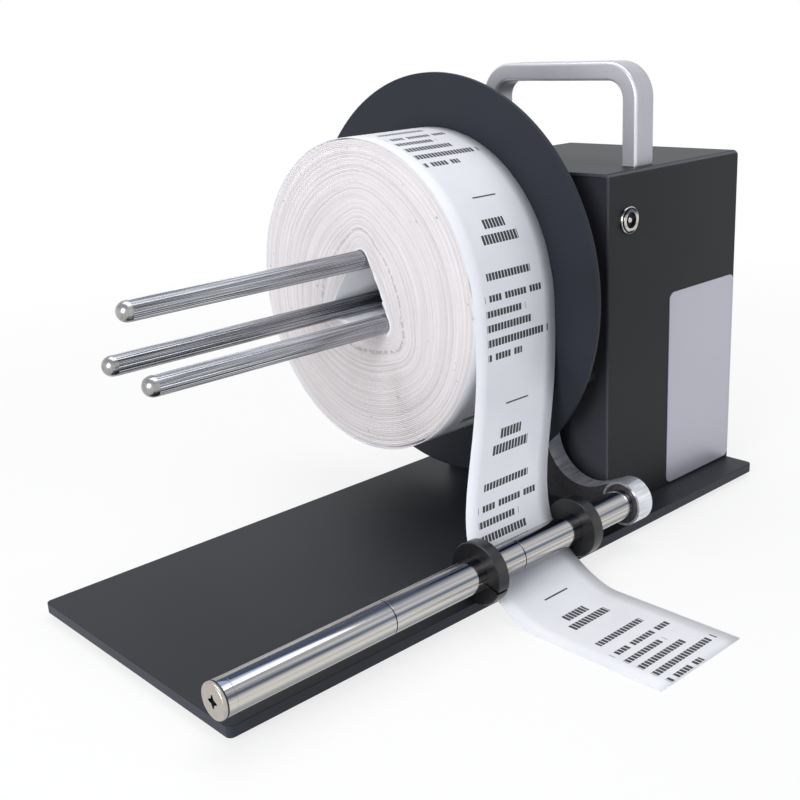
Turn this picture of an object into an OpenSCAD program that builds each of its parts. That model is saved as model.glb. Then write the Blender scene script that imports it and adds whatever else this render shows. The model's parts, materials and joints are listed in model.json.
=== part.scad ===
// Label rewinder. A gear motor in a sheet housing turns a disc with three long rods, on which
// printed ribbon is wound. The ribbon passes under a guide bar on a swing arm.
// Millimetres. X runs along the base plate towards the housing, Y to the back, Z up.
// The origin is on the table, below the middle of the base plate.

/* [Base] */
// Length of the base plate
plate_l = 276; // [250:1:340]
// Width of the base plate
plate_w = 115; // [108:1:150]
// Thickness of the base plate
plate_t = 4; // [3:0.5:8]
// Corner radius of the base plate
plate_corner_r = 2; // [1.5:0.5:12]
// Thickness of the rubber sheet under the plate
mat_t = 2; // [1:0.5:6]
// How far the rubber sheet stays inside the edges of the plate
mat_inset = 4; // [2:0.5:15]

/* [Housing] */
// Length of the housing cover along the base plate
housing_l = 85; // [82:1:110]
// Width of the housing cover
housing_w = 90; // [88:1:104]
// Height of the housing cover
housing_h = 134; // [125:1:170]
// Sheet thickness of the cover
cover_t = 1.2; // [0.8:0.1:2]
// Outer radius of the cover's top folds
fold_r = 2.2; // [2.2:0.1:6]
// Sheet thickness of the two end panels
panel_t = 2; // [1.5:0.1:3]
// How far the end panels sit inside the ends of the cover
panel_inset = 1; // [0.5:0.1:3]
// Width of the fixing flanges at the foot of each sheet
flange_w = 10; // [8:0.5:12]
// Gap between sheets that sit side by side
sheet_gap = 0.1; // [0.05:0.01:0.3]

/* [Fasteners] */
// Diameter of the small screws
screw_d = 3; // [2.5:0.1:4]
// Diameter of the screws that hold the rods
rod_screw_d = 4; // [3:0.1:5]
// Height of a clinch nut
nut_h = 2.4; // [1.5:0.1:4]

/* [Handle] */
// How far the handle stays inside each side of the cover
handle_inset = 5.5; // [5:0.5:15]
// Height of the handle above the cover
handle_h = 38.5; // [28:0.5:60]
// Width of the handle bar, along the base plate
handle_bar_w = 11.5; // [8:0.5:16]
// Thickness of the handle bar
handle_bar_t = 7; // [5:0.5:9]
// Outer radius of the handle's bends
handle_bend_r = 14; // [10:0.5:20]
// Distance of the handle's middle from the disc end of the cover
handle_from_edge = 29; // [15:0.5:60]

/* [Power inlet and rating plate] */
// Distance of the inlet from the disc end of the cover
inlet_from_edge = 11.7; // [10:0.1:40]
// Height of the inlet above the base plate
inlet_h = 115.8; // [95:0.1:118]
// Diameter of the inlet's bright ring
inlet_ring_d = 10.6; // [10:0.1:16]
// Diameter of the inlet's threaded body
inlet_body_d = 8; // [7.5:0.1:9]
// Diameter of the inlet's hole for a plug
inlet_bore_d = 5.8; // [5:0.1:6.5]
// Diameter of the inlet's centre pin
inlet_pin_d = 2.1; // [1.5:0.1:2.5]
// Width of the rating plate
rating_w = 45.5; // [30:0.5:60]
// Height of the rating plate
rating_h = 81.5; // [40:0.5:86]
// Thickness of the rating plate
rating_t = 0.3; // [0.2:0.05:0.6]

/* [Spindle] */
// Height of the spindle axis above the base plate
spindle_h = 89; // [86:0.5:100]
// Diameter of the spindle shaft
shaft_d = 8; // [6:0.5:8]
// Diameter of the flange disc
disc_d = 165; // [130:1:170]
// Thickness of the flange disc
disc_t = 2; // [1.5:0.1:4]
// Gap between the back of the disc and the cover
disc_gap = 12; // [11.5:0.1:20]
// Diameter of the hub behind the disc
hub_d = 48; // [42:1:54]
// Thickness of the hub
hub_t = 8; // [7:0.1:8.5]
// Diameter of a rod
rod_d = 7.5; // [6:0.1:9]
// Length of a rod from the disc to its round nose
rod_l = 149; // [120:1:160]
// Radius of the circle on which the rods stand
rod_pitch_r = 15.2; // [13:0.1:17]
// Angle of the first rod above the back of the machine
rod_phase = 95; // [60:1:120]

/* [Roll and ribbon] */
// Outer diameter of the wound roll
roll_d = 123; // [90:1:140]
// Width of the wound roll
roll_w = 43.5; // [30:0.5:60]
// Turns drawn in the wound roll, each for many turns of the real one
roll_turns = 18; // [12:1:22]
// Least gap between the drawn turns
turn_gap = 0.5; // [0.45:0.05:0.8]
// Gap between a rod and the innermost turn
core_gap = 0.6; // [0.5:0.05:1]
// Thickness of the ribbon
tape_t = 0.3; // [0.2:0.05:0.5]
// How much narrower the ribbon is than the roll
tape_side_gap = 0.5; // [0.2:0.1:2]
// Gap between the ribbon and the round things that it passes
tape_gap = 0.3; // [0.2:0.05:0.6]
// Sideways drift of the ribbon between the roll and the guide bar
tape_drift = 27; // [0:1:40]
// Distance in front of the base plate at which the ribbon meets the table
tail_touch = 24; // [18:1:40]
// Distance in front of the base plate at which the ribbon ends
tail_end = 73; // [50:1:140]

/* [Gear motor] */
// Diameter of the gearbox
gearbox_d = 37; // [36.8:0.1:37.4]
// Gap between the gearbox and the back wall of the cover
gearbox_side_gap = 0.8; // [0.5:0.1:6]
// Length of the gearbox case
gearbox_l = 22; // [21.5:0.1:26]
// Wall of the gearbox case
gearbox_wall = 0.9; // [0.8:0.05:1]
// Thickness of the gearbox front wall
gearbox_front_t = 3; // [2.5:0.1:4]
// Offset of the output shaft from the motor axis
output_offset = 7; // [6.5:0.1:7.2]
// Module of the gears
gear_module = 0.45; // [0.44:0.005:0.46]
// Teeth on a pinion
pinion_teeth = 10; // [9:1:10]
// Teeth on a wheel
wheel_teeth = 32; // [30:1:32]
// Play between mating teeth
gear_play = 0.14; // [0.1:0.01:0.2]
// Outer diameter of a spindle bearing
bearing_d = 16; // [14:0.5:16]
// Width of a spindle bearing
bearing_w = 5; // [4:0.5:5]
// Diameter of the motor can
motor_d = 35.6; // [30:0.1:36]
// Length of the motor can
motor_l = 34; // [28:0.5:38]
// Wall of the motor can
motor_wall = 1.2; // [0.8:0.1:2]
// Diameter of the rotor shaft
rotor_shaft_d = 2.3; // [2:0.1:2.5]
// Diameter of the idler pin
idler_pin_d = 2; // [1.8:0.1:2.2]
// Radial clearance of a turning fit
run_fit = 0.04; // [0.02:0.01:0.08]

/* [Swing arm] */
// Thickness of the arm
arm_t = 8; // [6:0.1:8.2]
// Width of the arm's bar
arm_w = 9; // [8.5:0.1:12]
// Inner radius of the arm's bend
arm_bend_r = 18; // [14:0.5:22]
// Height of the centre of the arm's bend above the base plate
arm_bend_h = 32.5; // [28:0.5:36]
// Gap between the disc and the arm
arm_gap = 1.5; // [1:0.1:2]
// Distance of the arm's pivot from the middle of the base plate, to the front
pivot_front = 18; // [14:0.5:22]
// Height of the arm's pivot above the base plate
pivot_h = 74; // [68:0.5:84]
// Diameter of the pivot shaft
pivot_d = 8; // [6:0.5:8]
// Diameter of the arm round its pivot
pivot_boss_d = 18; // [16:0.5:22]
// Diameter of the eye that holds the guide bar
eye_d = 17.4; // [14:0.2:20]
// How far the arm can lift, in degrees
arm_lift = 28; // [15:1:35]
// Diameter of a stop pin
stop_d = 6; // [5:0.5:8]
// Distance of the stop pins below the pivot, along the arm
stop_drop = 24; // [20:0.5:34]
// Gap between the arm and a stop pin
stop_gap = 0.3; // [0.2:0.05:0.6]

/* [Guide bar] */
// Diameter of the chrome sleeves
sleeve_d = 11.8; // [10:0.1:13]
// Length of a sleeve
sleeve_l = 60; // [50:0.5:64]
// Chamfer at the ends of a sleeve
sleeve_chamfer = 0.4; // [0.2:0.1:0.8]
// Diameter of the shaft inside the sleeves
guide_shaft_d = 6; // [4:0.5:7]
// Distance of the bar's axis in front of the base plate
bar_front = 1.75; // [0:0.05:4]
// Height of the bar's axis above the base plate
bar_h = 11.9; // [11.7:0.1:14]
// Gap between the ends of neighbouring sleeves
sleeve_gap = 0.3; // [0.2:0.05:0.6]
// Thickness of the end cap
end_cap_t = 4.5; // [4:0.1:8]
// Outer diameter of a split collar
collar_d = 22.4; // [18:0.1:22.6]
// Width of a split collar
collar_t = 5; // [3:0.1:8]
// Edge chamfer of a split collar
collar_chamfer = 0.8; // [0.3:0.1:1.2]
// Width of the split
collar_slit = 0.8; // [0.4:0.1:2]
// Gap between a collar and the ribbon's edge
collar_side_gap = 1; // [0.5:0.1:4]

/* [Controls] */
// Height of the controls above the base plate
controls_h = 108; // [80:1:112]
// Distance of the knob and of the switch from the middle of the rear panel
controls_y = 19; // [16:0.5:24]
// Diameter of the speed knob
knob_d = 18; // [16:0.5:22]
// Height of the speed knob
knob_h = 13; // [10:0.5:18]
// Diameter of the control shaft
pot_shaft_d = 6; // [4:0.5:6]
// Diameter of the control's body
pot_d = 16; // [12:0.5:18]
// Length of the switch body
switch_l = 21; // [20:0.1:24]
// Width of the switch body
switch_w = 14.6; // [14:0.1:16]

/* [Control board] */
// Length of the board
board_l = 50; // [40:1:54]
// Width of the board
board_w = 60; // [44:1:64]
// Thickness of the board
board_t = 1.6; // [1:0.1:2]
// Height of the standoffs under the board
standoff_h = 8; // [5:0.5:12]

/* [Hidden] */
$fn = 64;
cut = 1;

// Levels and planes
plate_top = mat_t + plate_t;
box_top = plate_top + housing_h;
front_edge = -plate_w / 2;
plate_end = plate_l / 2;
box_end = plate_end - housing_l;
panel_out = box_end + panel_inset;
panel_in = panel_out + panel_t;
rear_out = plate_end - panel_inset;
rear_in = rear_out - panel_t;
inner_w = housing_w - 2 * cover_t;
screw_r = screw_d / 2;

// Spindle
spindle_z = plate_top + spindle_h;
disc_back = box_end - disc_gap;
disc_front = disc_back - disc_t;
hub_back = disc_back + hub_t;
rod_r = rod_d / 2;
roll_r = roll_d / 2;
rod_screw_r = rod_screw_d / 2;
rod_angles = [for (i = [0:2]) rod_phase + 120 * i];
rod_head_h = 3;
rod_screw_grip = 12;

// Gearbox and motor along X
boss_out = 2.5;
bearing_start = panel_out - boss_out;
bearing_space = 0.2;
bearing_end = bearing_start + 2 * bearing_w + bearing_space;
boss_lip = 0.8;
boss_end = bearing_end + boss_lip;
boss_r = bearing_d / 2 + 2;
gearbox_end = panel_in + gearbox_l;
motor_plate_t = 2;
motor_start = gearbox_end + motor_plate_t;
motor_end = motor_start + motor_l;
end_cap_depth = 3;
gear_space = 1;
output_gear_w = 6;
output_gear_x = boss_end + gear_space;
idler_wheel_w = 4;
idler_wheel_x = output_gear_x + output_gear_w + 1.5;
mesh_overrun = 0.5;

// Gear train in the plane across the spindle
motor_y = inner_w / 2 - gearbox_side_gap - gearbox_d / 2;
spindle_y = motor_y + output_offset;
centre_distance = gear_module * (pinion_teeth + wheel_teeth) / 2;
idler_y = spindle_y - output_offset / 2;
idler_z = spindle_z + sqrt(pow(centre_distance, 2) - pow(output_offset / 2, 2));
spindle_to_idler = atan2(idler_z - spindle_z, idler_y - spindle_y);
idler_to_motor = atan2(spindle_z - idler_z, motor_y - idler_y);
half_tooth = 180 / pinion_teeth;

// Swing arm and guide bar
arm_front = disc_back + arm_gap;
arm_back = arm_front + arm_t;
pivot_y = -pivot_front;
pivot_z = plate_top + pivot_h;
pivot_r = pivot_d / 2;
bar_y = front_edge - bar_front;
bar_z = plate_top + bar_h;
bend_y = pivot_y - arm_w / 2 - arm_bend_r;
bend_z = plate_top + arm_bend_h;
bend_start = atan2(bar_z - bend_z, bar_y - bend_y);
bend_to_eye = norm([bar_y - bend_y, bar_z - bend_z]);
eye_bite = 0.05;
blend_turn = acos(min(1, (arm_bend_r + eye_d / 2 - eye_bite) / bend_to_eye));
leave_angle = bend_start + blend_turn;
sleeve_r = sleeve_d / 2;
sleeve_ends = [for (i = [0:2]) arm_front - sleeve_gap - (2 - i) * (sleeve_l + sleeve_gap)];
cap_back = sleeve_ends[0] - sleeve_l - sleeve_gap;
cap_front = cap_back - end_cap_t;
cap_bore = 2;
bush_flange_t = 1.6;
bush_front = panel_out - bush_flange_t;
bush_end = panel_in + 6;
circlip_t = 1;
flag_x = bush_end + circlip_t + 2;
flag_t = 1.5;
flag_l = 20;
flag_w = 10;

// Ribbon
tape_w = roll_w - tape_side_gap;
roll_mid = disc_front - roll_w / 2;
tape_bar_mid = roll_mid - tape_drift;
collar_mids = [tape_bar_mid - tape_w / 2 - collar_side_gap - collar_t / 2,
    tape_bar_mid + tape_w / 2 + collar_side_gap + collar_t / 2];
wrap_r = sleeve_r + tape_gap + tape_t / 2;
wrap_start = -28;
wrap_end = -55;
tail_z = tape_t / 2 + 0.05;

// Fixings through the base plate: place and the sheet thickness that each one holds
cover_flange_y = inner_w / 2 - flange_w / 2;
cover_fix_inset = 18;
panel_fix_y = 20;
fixings = [for (side = [-1, 1]) each [
    [panel_in + cover_fix_inset, side * cover_flange_y, cover_t],
    [rear_in - cover_fix_inset, side * cover_flange_y, cover_t],
    [panel_in + flange_w / 2, side * panel_fix_y, panel_t],
    [rear_in - flange_w / 2, side * panel_fix_y, panel_t]]];

// Control board
board_mid = (panel_in + rear_in) / 2;
board_bottom = plate_top + standoff_h;
board_top = board_bottom + board_t;
board_hole_inset = 5;
board_holes = [for (sx = [-1, 1], sy = [-1, 1])
    [board_mid + sx * (board_l / 2 - board_hole_inset), sy * (board_w / 2 - board_hole_inset)]];

// Controls on the rear panel
controls_z = plate_top + controls_h;
pot_thread_r = pot_shaft_d / 2 + 0.9;
pot_thread_out = 5;
pot_nut_t = 2;
knob_gap = 0.5;
bezel_t = 2;
bezel_lip = 1.6;
switch_wall = 0.9;
switch_depth = 14;
rocker_drop = 2;
rocker_half_l = switch_l / 2 - switch_wall - 1.4;
rocker_half_w = switch_w / 2 - switch_wall - 0.4;
rocker_pin_r = 1.2;

// Shared shapes

// A cylinder along X
module rod_x(r, x0, x1, y, z)
    translate([x0, y, z]) rotate([0, 90, 0]) cylinder(r = r, h = x1 - x0);

// A profile in the Y Z plane, drawn out along X
module along_x(x0, length)
    translate([x0, 0, 0]) rotate([90, 0, 90]) linear_extrude(length) children();

// A ring along X
module ring_x(r_out, r_in, x0, x1, y, z)
    difference() {
        rod_x(r_out, x0, x1, y, z);
        rod_x(r_in, x0 - cut, x1 + cut, y, z);
    }

// A rectangle with round corners, about its middle
module round_rect(w, h, r) {
    square([w - 2 * r, h], center = true);
    square([w, h - 2 * r], center = true);
    for (sx = [-1, 1], sy = [-1, 1])
        translate([sx * (w / 2 - r), sy * (h / 2 - r)]) circle(r);
}

// An arch with a flat foot and round top corners
module arch(w, h, r) {
    translate([-w / 2, 0]) square([w, h - r]);
    translate([-w / 2 + r, 0]) square([w - 2 * r, h]);
    for (side = [-1, 1])
        translate([side * (w / 2 - r), h - r]) circle(r);
}

function polar(r, a) = [r * cos(a), r * sin(a)];

// Involute gear outline: the angle that half a tooth takes at radius r
function involute(r, base_r) =
    let (a = acos(min(1, base_r / r))) tan(a) * 180 / PI - a;
function half_width(r, pitch_r, base_r, teeth) =
    90 / teeth - gear_play / 4 / pitch_r * 180 / PI
    + involute(pitch_r, base_r) - involute(max(r, base_r), base_r);
function gear_outline(teeth, phase) =
    let (pitch_r = gear_module * teeth / 2,
        base_r = pitch_r * cos(20),
        root_r = pitch_r - 1.2 * gear_module,
        tip_r = pitch_r + 0.85 * gear_module,
        steps = [for (i = [0:4]) root_r + (tip_r - root_r) * i / 4])
    [for (t = [0:teeth - 1], side = [-1, 1], i = [0:4])
        let (r = steps[side < 0 ? i : 4 - i])
        polar(r, phase + t * 360 / teeth + side * half_width(r, pitch_r, base_r, teeth))];

module gear_x(teeth, phase, bore_r, x0, length, y, z)
    along_x(x0, length) translate([y, z]) difference() {
        polygon(gear_outline(teeth, phase));
        circle(bore_r);
    }

// Points on a cubic curve, and the ribbon's routes in the Y Z plane
function cubic(a, b, c, d, t) =
    pow(1 - t, 3) * a + 3 * pow(1 - t, 2) * t * b + 3 * (1 - t) * t * t * c + pow(t, 3) * d;
function around_bar(a) = [bar_y, bar_z] + polar(wrap_r, a);
function heading(a) = [sin(a), -cos(a)];

web_top = [spindle_y - roll_r - tape_gap - tape_t / 2, spindle_z];
web_pull = 45;
web_reach = 22;
web_steps = 20;
wrap_steps = 4;
web_route = concat(
    [for (i = [0:web_steps - 1])
        cubic(web_top, web_top - [0, web_pull],
            around_bar(wrap_start) - web_reach * heading(wrap_start), around_bar(wrap_start),
            i / web_steps)],
    [for (i = [0:wrap_steps])
        around_bar(wrap_start + (wrap_end - wrap_start) * i / wrap_steps)]);
tail_touch_point = [front_edge - tail_touch, tail_z];
tail_reach = 9;
tail_steps = 12;
tail_route = concat(
    [for (i = [0:tail_steps])
        cubic(around_bar(wrap_end), around_bar(wrap_end) + tail_reach * heading(wrap_end),
            tail_touch_point + [tail_reach, 0], tail_touch_point, i / tail_steps)],
    [for (i = [1:3]) [front_edge - tail_touch - (tail_end - tail_touch) * i / 3, tail_z]]);

// A flat ribbon swept along a route, with the middle of its width given for each point
function ease(t) = t * t * (3 - 2 * t);
function across(route, i) =
    let (a = route[max(i - 1, 0)],
        b = route[min(i + 1, len(route) - 1)],
        d = (b - a) / norm(b - a))
    [-d[1], d[0]] * tape_t / 2;
module ribbon(route, mids) {
    last = len(route) - 1;
    points = [for (i = [0:last], k = [0:3])
        let (side = (k == 0 || k == 3) ? -1 : 1,
            n = across(route, i) * (k < 2 ? -1 : 1))
        [mids[i] + side * tape_w / 2, route[i][0] + n[0], route[i][1] + n[1]]];
    walls = [for (i = [0:last - 1], k = [0:3])
        let (a = 4 * i + k, b = 4 * i + (k + 1) % 4)
        each [[a, b, b + 4], [a, b + 4, a + 4]]];
    ends = [[0, 3, 2], [0, 2, 1],
        [4 * last, 4 * last + 1, 4 * last + 2], [4 * last, 4 * last + 2, 4 * last + 3]];
    polyhedron(points, [for (f = concat(walls, ends)) [f[0], f[2], f[1]]]);
}

// Base
module base_screw(place, extra = 0) {
    head_h = 1.6;
    translate([place[0], place[1], mat_t]) {
        cylinder(r1 = 2 * screw_r, r2 = screw_r, h = head_h);
        cylinder(r = screw_r, h = plate_t + place[2] + nut_h + extra);
    }
}

module base_plate() color("#3d3f43")
    difference() {
        translate([0, 0, mat_t]) linear_extrude(plate_t) round_rect(plate_l, plate_w, plate_corner_r);
        for (place = fixings) base_screw(place);
    }

module rubber_mat() color("#1c1c1e")
    linear_extrude(mat_t) round_rect(plate_l - 2 * mat_inset, plate_w - 2 * mat_inset, plate_corner_r);

module base_screws() color("#b9bcc0")
    for (place = fixings) base_screw(place);

module clinch_nuts() color("#c4c6c9")
    for (place = fixings)
        translate([place[0], place[1], plate_top + place[2]]) difference() {
            cylinder(r = 2 * screw_r, h = nut_h);
            translate([0, 0, -cut]) cylinder(r = screw_r, h = nut_h + 2 * cut);
        }

// Housing
module sheet_holes()
    for (place = fixings)
        translate([place[0], place[1], plate_top - cut]) cylinder(r = screw_r, h = place[2] + 2 * cut);

handle_mid = box_end + handle_from_edge;
handle_span = housing_w - 2 * handle_inset;
handle_leg_y = handle_span / 2 - handle_bar_t / 2;
inlet_x = box_end + inlet_from_edge;
inlet_z = plate_top + inlet_h;

flange_root = cover_t / 2;
module housing_cover() color("#3a3c40")
    difference() {
        union() {
            translate([0, 0, plate_top]) along_x(box_end, housing_l) difference() {
                arch(housing_w, housing_h, fold_r);
                translate([0, -cut]) arch(inner_w, housing_h - cover_t + cut, fold_r - cover_t);
            }
            for (side = [-1, 1])
                translate([panel_in + flange_w,
                    side * cover_flange_y - flange_w / 2 - (1 - side) / 2 * flange_root, plate_top])
                    cube([rear_in - panel_in - 2 * flange_w, flange_w + flange_root, cover_t]);
        }
        sheet_holes();
        for (side = [-1, 1])
            translate([handle_mid, side * handle_leg_y, box_top - cover_t - cut])
                cylinder(r = screw_r, h = cover_t + 2 * cut);
        translate([inlet_x, -housing_w / 2 - cut, inlet_z]) rotate([-90, 0, 0])
            cylinder(d = inlet_body_d, h = cover_t + 2 * cut);
    }

// An upright end panel that fits between the walls of the cover, with its flange rooted in it
panel_root = panel_t / 2;
module end_panel(x0, flange_x)
    union() {
        translate([0, 0, plate_top]) along_x(x0, panel_t)
            arch(inner_w - 2 * sheet_gap, housing_h - cover_t - sheet_gap, fold_r - cover_t);
        translate([flange_x, -inner_w / 2 + flange_w + sheet_gap, plate_top])
            cube([flange_w + panel_root, inner_w - 2 * flange_w - 2 * sheet_gap, panel_t]);
    }

gearbox_screw_pcd = gearbox_d - 6;
gearbox_screw_angles = [60, 120, 240, 300];
module at_gearbox_screws()
    for (a = gearbox_screw_angles)
        translate([0, motor_y + gearbox_screw_pcd / 2 * cos(a),
            spindle_z + gearbox_screw_pcd / 2 * sin(a)]) children();

// The stop pins touch the arm's bar, one at rest and one at full lift
stop_reach = arm_w / 2 + stop_d / 2 + stop_gap;
function lifted(p) = [p[0] * cos(arm_lift) + p[1] * sin(arm_lift),
    p[1] * cos(arm_lift) - p[0] * sin(arm_lift)];
stop_places = [[pivot_y, pivot_z] + [stop_reach, -stop_drop],
    [pivot_y, pivot_z] + lifted([-stop_reach, -stop_drop])];

module motor_panel() color("#2b2c30")
    difference() {
        end_panel(panel_out, panel_in - panel_root);
        sheet_holes();
        rod_x(boss_r + sheet_gap, panel_out - cut, panel_in + cut, spindle_y, spindle_z);
        at_gearbox_screws() rod_x(screw_r, panel_out - cut, panel_in + cut, 0, 0);
        rod_x(pivot_r + 2, panel_out - cut, panel_in + cut, pivot_y, pivot_z);
        for (p = stop_places) rod_x(screw_r, panel_out - cut, panel_in + cut, p[0], p[1]);
    }

module rear_panel() color("#2b2c30")
    difference() {
        end_panel(rear_in, rear_in - flange_w);
        sheet_holes();
        rod_x(pot_thread_r, rear_in - cut, rear_out + cut, controls_y, controls_z);
        translate([rear_in - cut, -controls_y - switch_w / 2, controls_z - switch_l / 2])
            cube([panel_t + 2 * cut, switch_w, switch_l]);
    }

handle_screw_reach = 9;
handle_hole_depth = handle_screw_reach + 1;
handle_screw_head_h = 2.1;
module carry_handle() color("#b9b9c2")
    difference() {
        translate([0, 0, box_top]) along_x(handle_mid - handle_bar_w / 2, handle_bar_w) difference() {
            arch(handle_span, handle_h, handle_bend_r);
            translate([0, -cut])
                arch(handle_span - 2 * handle_bar_t, handle_h - handle_bar_t + cut,
                    handle_bend_r - handle_bar_t);
        }
        for (side = [-1, 1])
            translate([handle_mid, side * handle_leg_y, box_top - cut])
                cylinder(r = screw_r, h = handle_hole_depth + cut);
    }

module handle_screws() color("#b9bcc0")
    for (side = [-1, 1])
        translate([handle_mid, side * handle_leg_y, box_top - cover_t]) {
            translate([0, 0, -handle_screw_head_h]) cylinder(r = 2 * screw_r, h = handle_screw_head_h);
            cylinder(r = screw_r, h = cover_t + handle_screw_reach);
        }

// Power inlet, along Y through the front wall of the cover
inlet_ring_t = 1.6;
inlet_depth = 12;
inlet_nut_t = 2.5;
module at_inlet()
    translate([inlet_x, -housing_w / 2, inlet_z]) rotate([-90, 0, 0]) children();

module power_inlet() color("#c8c8cc")
    at_inlet() {
        difference() {
            union() {
                translate([0, 0, -inlet_ring_t]) cylinder(d = inlet_ring_d, h = inlet_ring_t);
                cylinder(d = inlet_body_d, h = inlet_depth);
            }
            translate([0, 0, -inlet_ring_t - cut]) cylinder(d = inlet_bore_d, h = inlet_depth - 1 + cut);
        }
        translate([0, 0, -inlet_ring_t / 2]) cylinder(d = inlet_pin_d, h = inlet_depth);
    }

module inlet_nut() color("#c8c8cc")
    at_inlet() translate([0, 0, cover_t]) difference() {
        cylinder(d = inlet_body_d * 1.6, h = inlet_nut_t, $fn = 6);
        translate([0, 0, -cut]) cylinder(d = inlet_body_d, h = inlet_nut_t + 2 * cut);
    }

rating_edge_gap = 0.5;
rating_base_gap = 1.2;
module rating_plate() color("#c3c3cc")
    translate([plate_end - rating_edge_gap - rating_w / 2, -housing_w / 2,
        plate_top + rating_base_gap + rating_h / 2])
        rotate([90, 0, 0]) linear_extrude(rating_t) round_rect(rating_w, rating_h, 3);

// Spindle
module at_rods()
    for (a = rod_angles)
        translate([0, spindle_y + rod_pitch_r * cos(a), spindle_z + rod_pitch_r * sin(a)]) children();

module flange_disc() color("#383a40")
    difference() {
        rod_x(disc_d / 2, disc_front, disc_back, spindle_y, spindle_z);
        at_rods() rod_x(rod_screw_r, disc_front - cut, disc_back + cut, 0, 0);
    }

set_screw_angle = rod_phase + 180;
set_screw_l = 8;
module hub_screw_space(r, length)
    translate([(disc_back + hub_back) / 2, spindle_y, spindle_z])
        rotate([set_screw_angle - 90, 0, 0]) translate([0, 0, shaft_d / 2]) cylinder(r = r, h = length);

module spindle_hub() color("#a9abb0")
    difference() {
        rod_x(hub_d / 2, disc_back, hub_back, spindle_y, spindle_z);
        rod_x(shaft_d / 2, disc_back - cut, hub_back + cut, spindle_y, spindle_z);
        at_rods() {
            rod_x(rod_screw_r, disc_back - cut, hub_back + cut, 0, 0);
            rod_x(1.75 * rod_screw_r, hub_back - rod_head_h, hub_back + cut, 0, 0);
        }
        hub_screw_space(screw_r, hub_d);
    }

module hub_set_screw() color("#4a4b4f")
    hub_screw_space(screw_r, set_screw_l);

module winding_rod(i) color("#9a9ca3")
    difference() {
        translate([disc_front, spindle_y + rod_pitch_r * cos(rod_angles[i]),
            spindle_z + rod_pitch_r * sin(rod_angles[i])])
            rotate([0, -90, 0]) rotate_extrude() intersection() {
                union() {
                    square([rod_r, rod_l - rod_r]);
                    translate([0, rod_l - rod_r]) circle(rod_r);
                }
                square([rod_r, rod_l]);
            }
        at_rods() rod_x(rod_screw_r, disc_front - rod_screw_grip, disc_front + cut, 0, 0);
    }
module rod_1() winding_rod(0);
module rod_2() winding_rod(1);
module rod_3() winding_rod(2);

module rod_screws() color("#4a4b4f")
    at_rods() {
        rod_x(1.75 * rod_screw_r, hub_back - rod_head_h, hub_back, 0, 0);
        rod_x(rod_screw_r, disc_front - rod_screw_grip + 1, hub_back, 0, 0);
    }

shaft_end = output_gear_x + output_gear_w + 0.5;
module spindle_shaft() color("#b4b6ba")
    rod_x(shaft_d / 2, disc_back, shaft_end, spindle_y, spindle_z);

module spindle_bearings() color("#c9ccd0")
    for (i = [0, 1]) {
        x0 = bearing_start + i * (bearing_w + bearing_space);
        ring_x(bearing_d / 2, shaft_d / 2 + run_fit, x0, x0 + bearing_w, spindle_y, spindle_z);
    }

module output_gear() color("#8f9298")
    gear_x(wheel_teeth, spindle_to_idler, shaft_d / 2, output_gear_x, output_gear_w, spindle_y, spindle_z);

// The roll is one band wound straight onto the rods, so its bore is a triangle with round corners
core_r = rod_r + core_gap;
core_corner = rod_pitch_r + core_r;
core_flat = rod_pitch_r / 2 + core_r;
corner_angle = atan2(core_r * sin(60), rod_pitch_r + core_r * cos(60));
function core_at(angle) =
    let (a = abs((angle - rod_phase + 3660) % 120 - 60))
    a < corner_angle
    ? rod_pitch_r * cos(a) + sqrt(pow(core_r, 2) - pow(rod_pitch_r * sin(a), 2))
    : core_flat / cos(60 - a);
band_t = (roll_r - core_corner - roll_turns * turn_gap) / (roll_turns + 1);
turn_steps = 36;
band_steps = roll_turns * turn_steps;
roll_end_angle = 180;
function band_angle(i) = roll_end_angle + (i % turn_steps) * 360 / turn_steps;
function band_r(i) =
    let (c = core_at(band_angle(i)))
    c + (roll_r - band_t - c) * i / band_steps;
band_inner = [for (i = [0:band_steps]) polar(band_r(i), band_angle(i))];
band_outer = [for (i = [band_steps:-1:0]) polar(band_r(i) + band_t, band_angle(i))];
echo(roll_least_gap = min([for (i = [0:band_steps - turn_steps])
    band_r(i + turn_steps) - band_r(i) - band_t]));
module label_roll() color("#ece8ea")
    along_x(disc_front - roll_w, roll_w) translate([spindle_y, spindle_z])
        polygon(concat(band_inner, band_outer));

// Shares of the web's fall at which the sideways drift begins and ends
drift_start = 0.06;
drift_end = 0.97;
function drifted(t) = ease(max(0, min(1, (t - drift_start) / (drift_end - drift_start))));
module label_web() color("#f0eff4")
    ribbon(web_route, [for (i = [0:len(web_route) - 1])
        roll_mid - tape_drift * drifted(i / web_steps)]);

module label_tail() color("#f0eff4")
    ribbon(tail_route, [for (p = tail_route) tape_bar_mid]);

// Gear motor
idler_lug_r = idler_pin_d / 2 + 1.2;
module gearbox_case() color("#9b9da2")
    difference() {
        union() {
            difference() {
                rod_x(gearbox_d / 2, panel_in, gearbox_end, motor_y, spindle_z);
                rod_x(gearbox_d / 2 - gearbox_wall, panel_in + gearbox_front_t, gearbox_end + cut,
                    motor_y, spindle_z);
            }
            rod_x(boss_r, bearing_start, boss_end, spindle_y, spindle_z);
            rod_x(idler_lug_r, panel_in, boss_end, idler_y, idler_z);
        }
        rod_x(bearing_d / 2, bearing_start - cut, bearing_end, spindle_y, spindle_z);
        rod_x(bearing_d / 2 - 2, bearing_end - cut, boss_end + cut, spindle_y, spindle_z);
        rod_x(idler_pin_d / 2, boss_end - 3, boss_end + cut, idler_y, idler_z);
        at_gearbox_screws() rod_x(screw_r, panel_in - cut, panel_in + gearbox_front_t + cut, 0, 0);
    }

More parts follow.
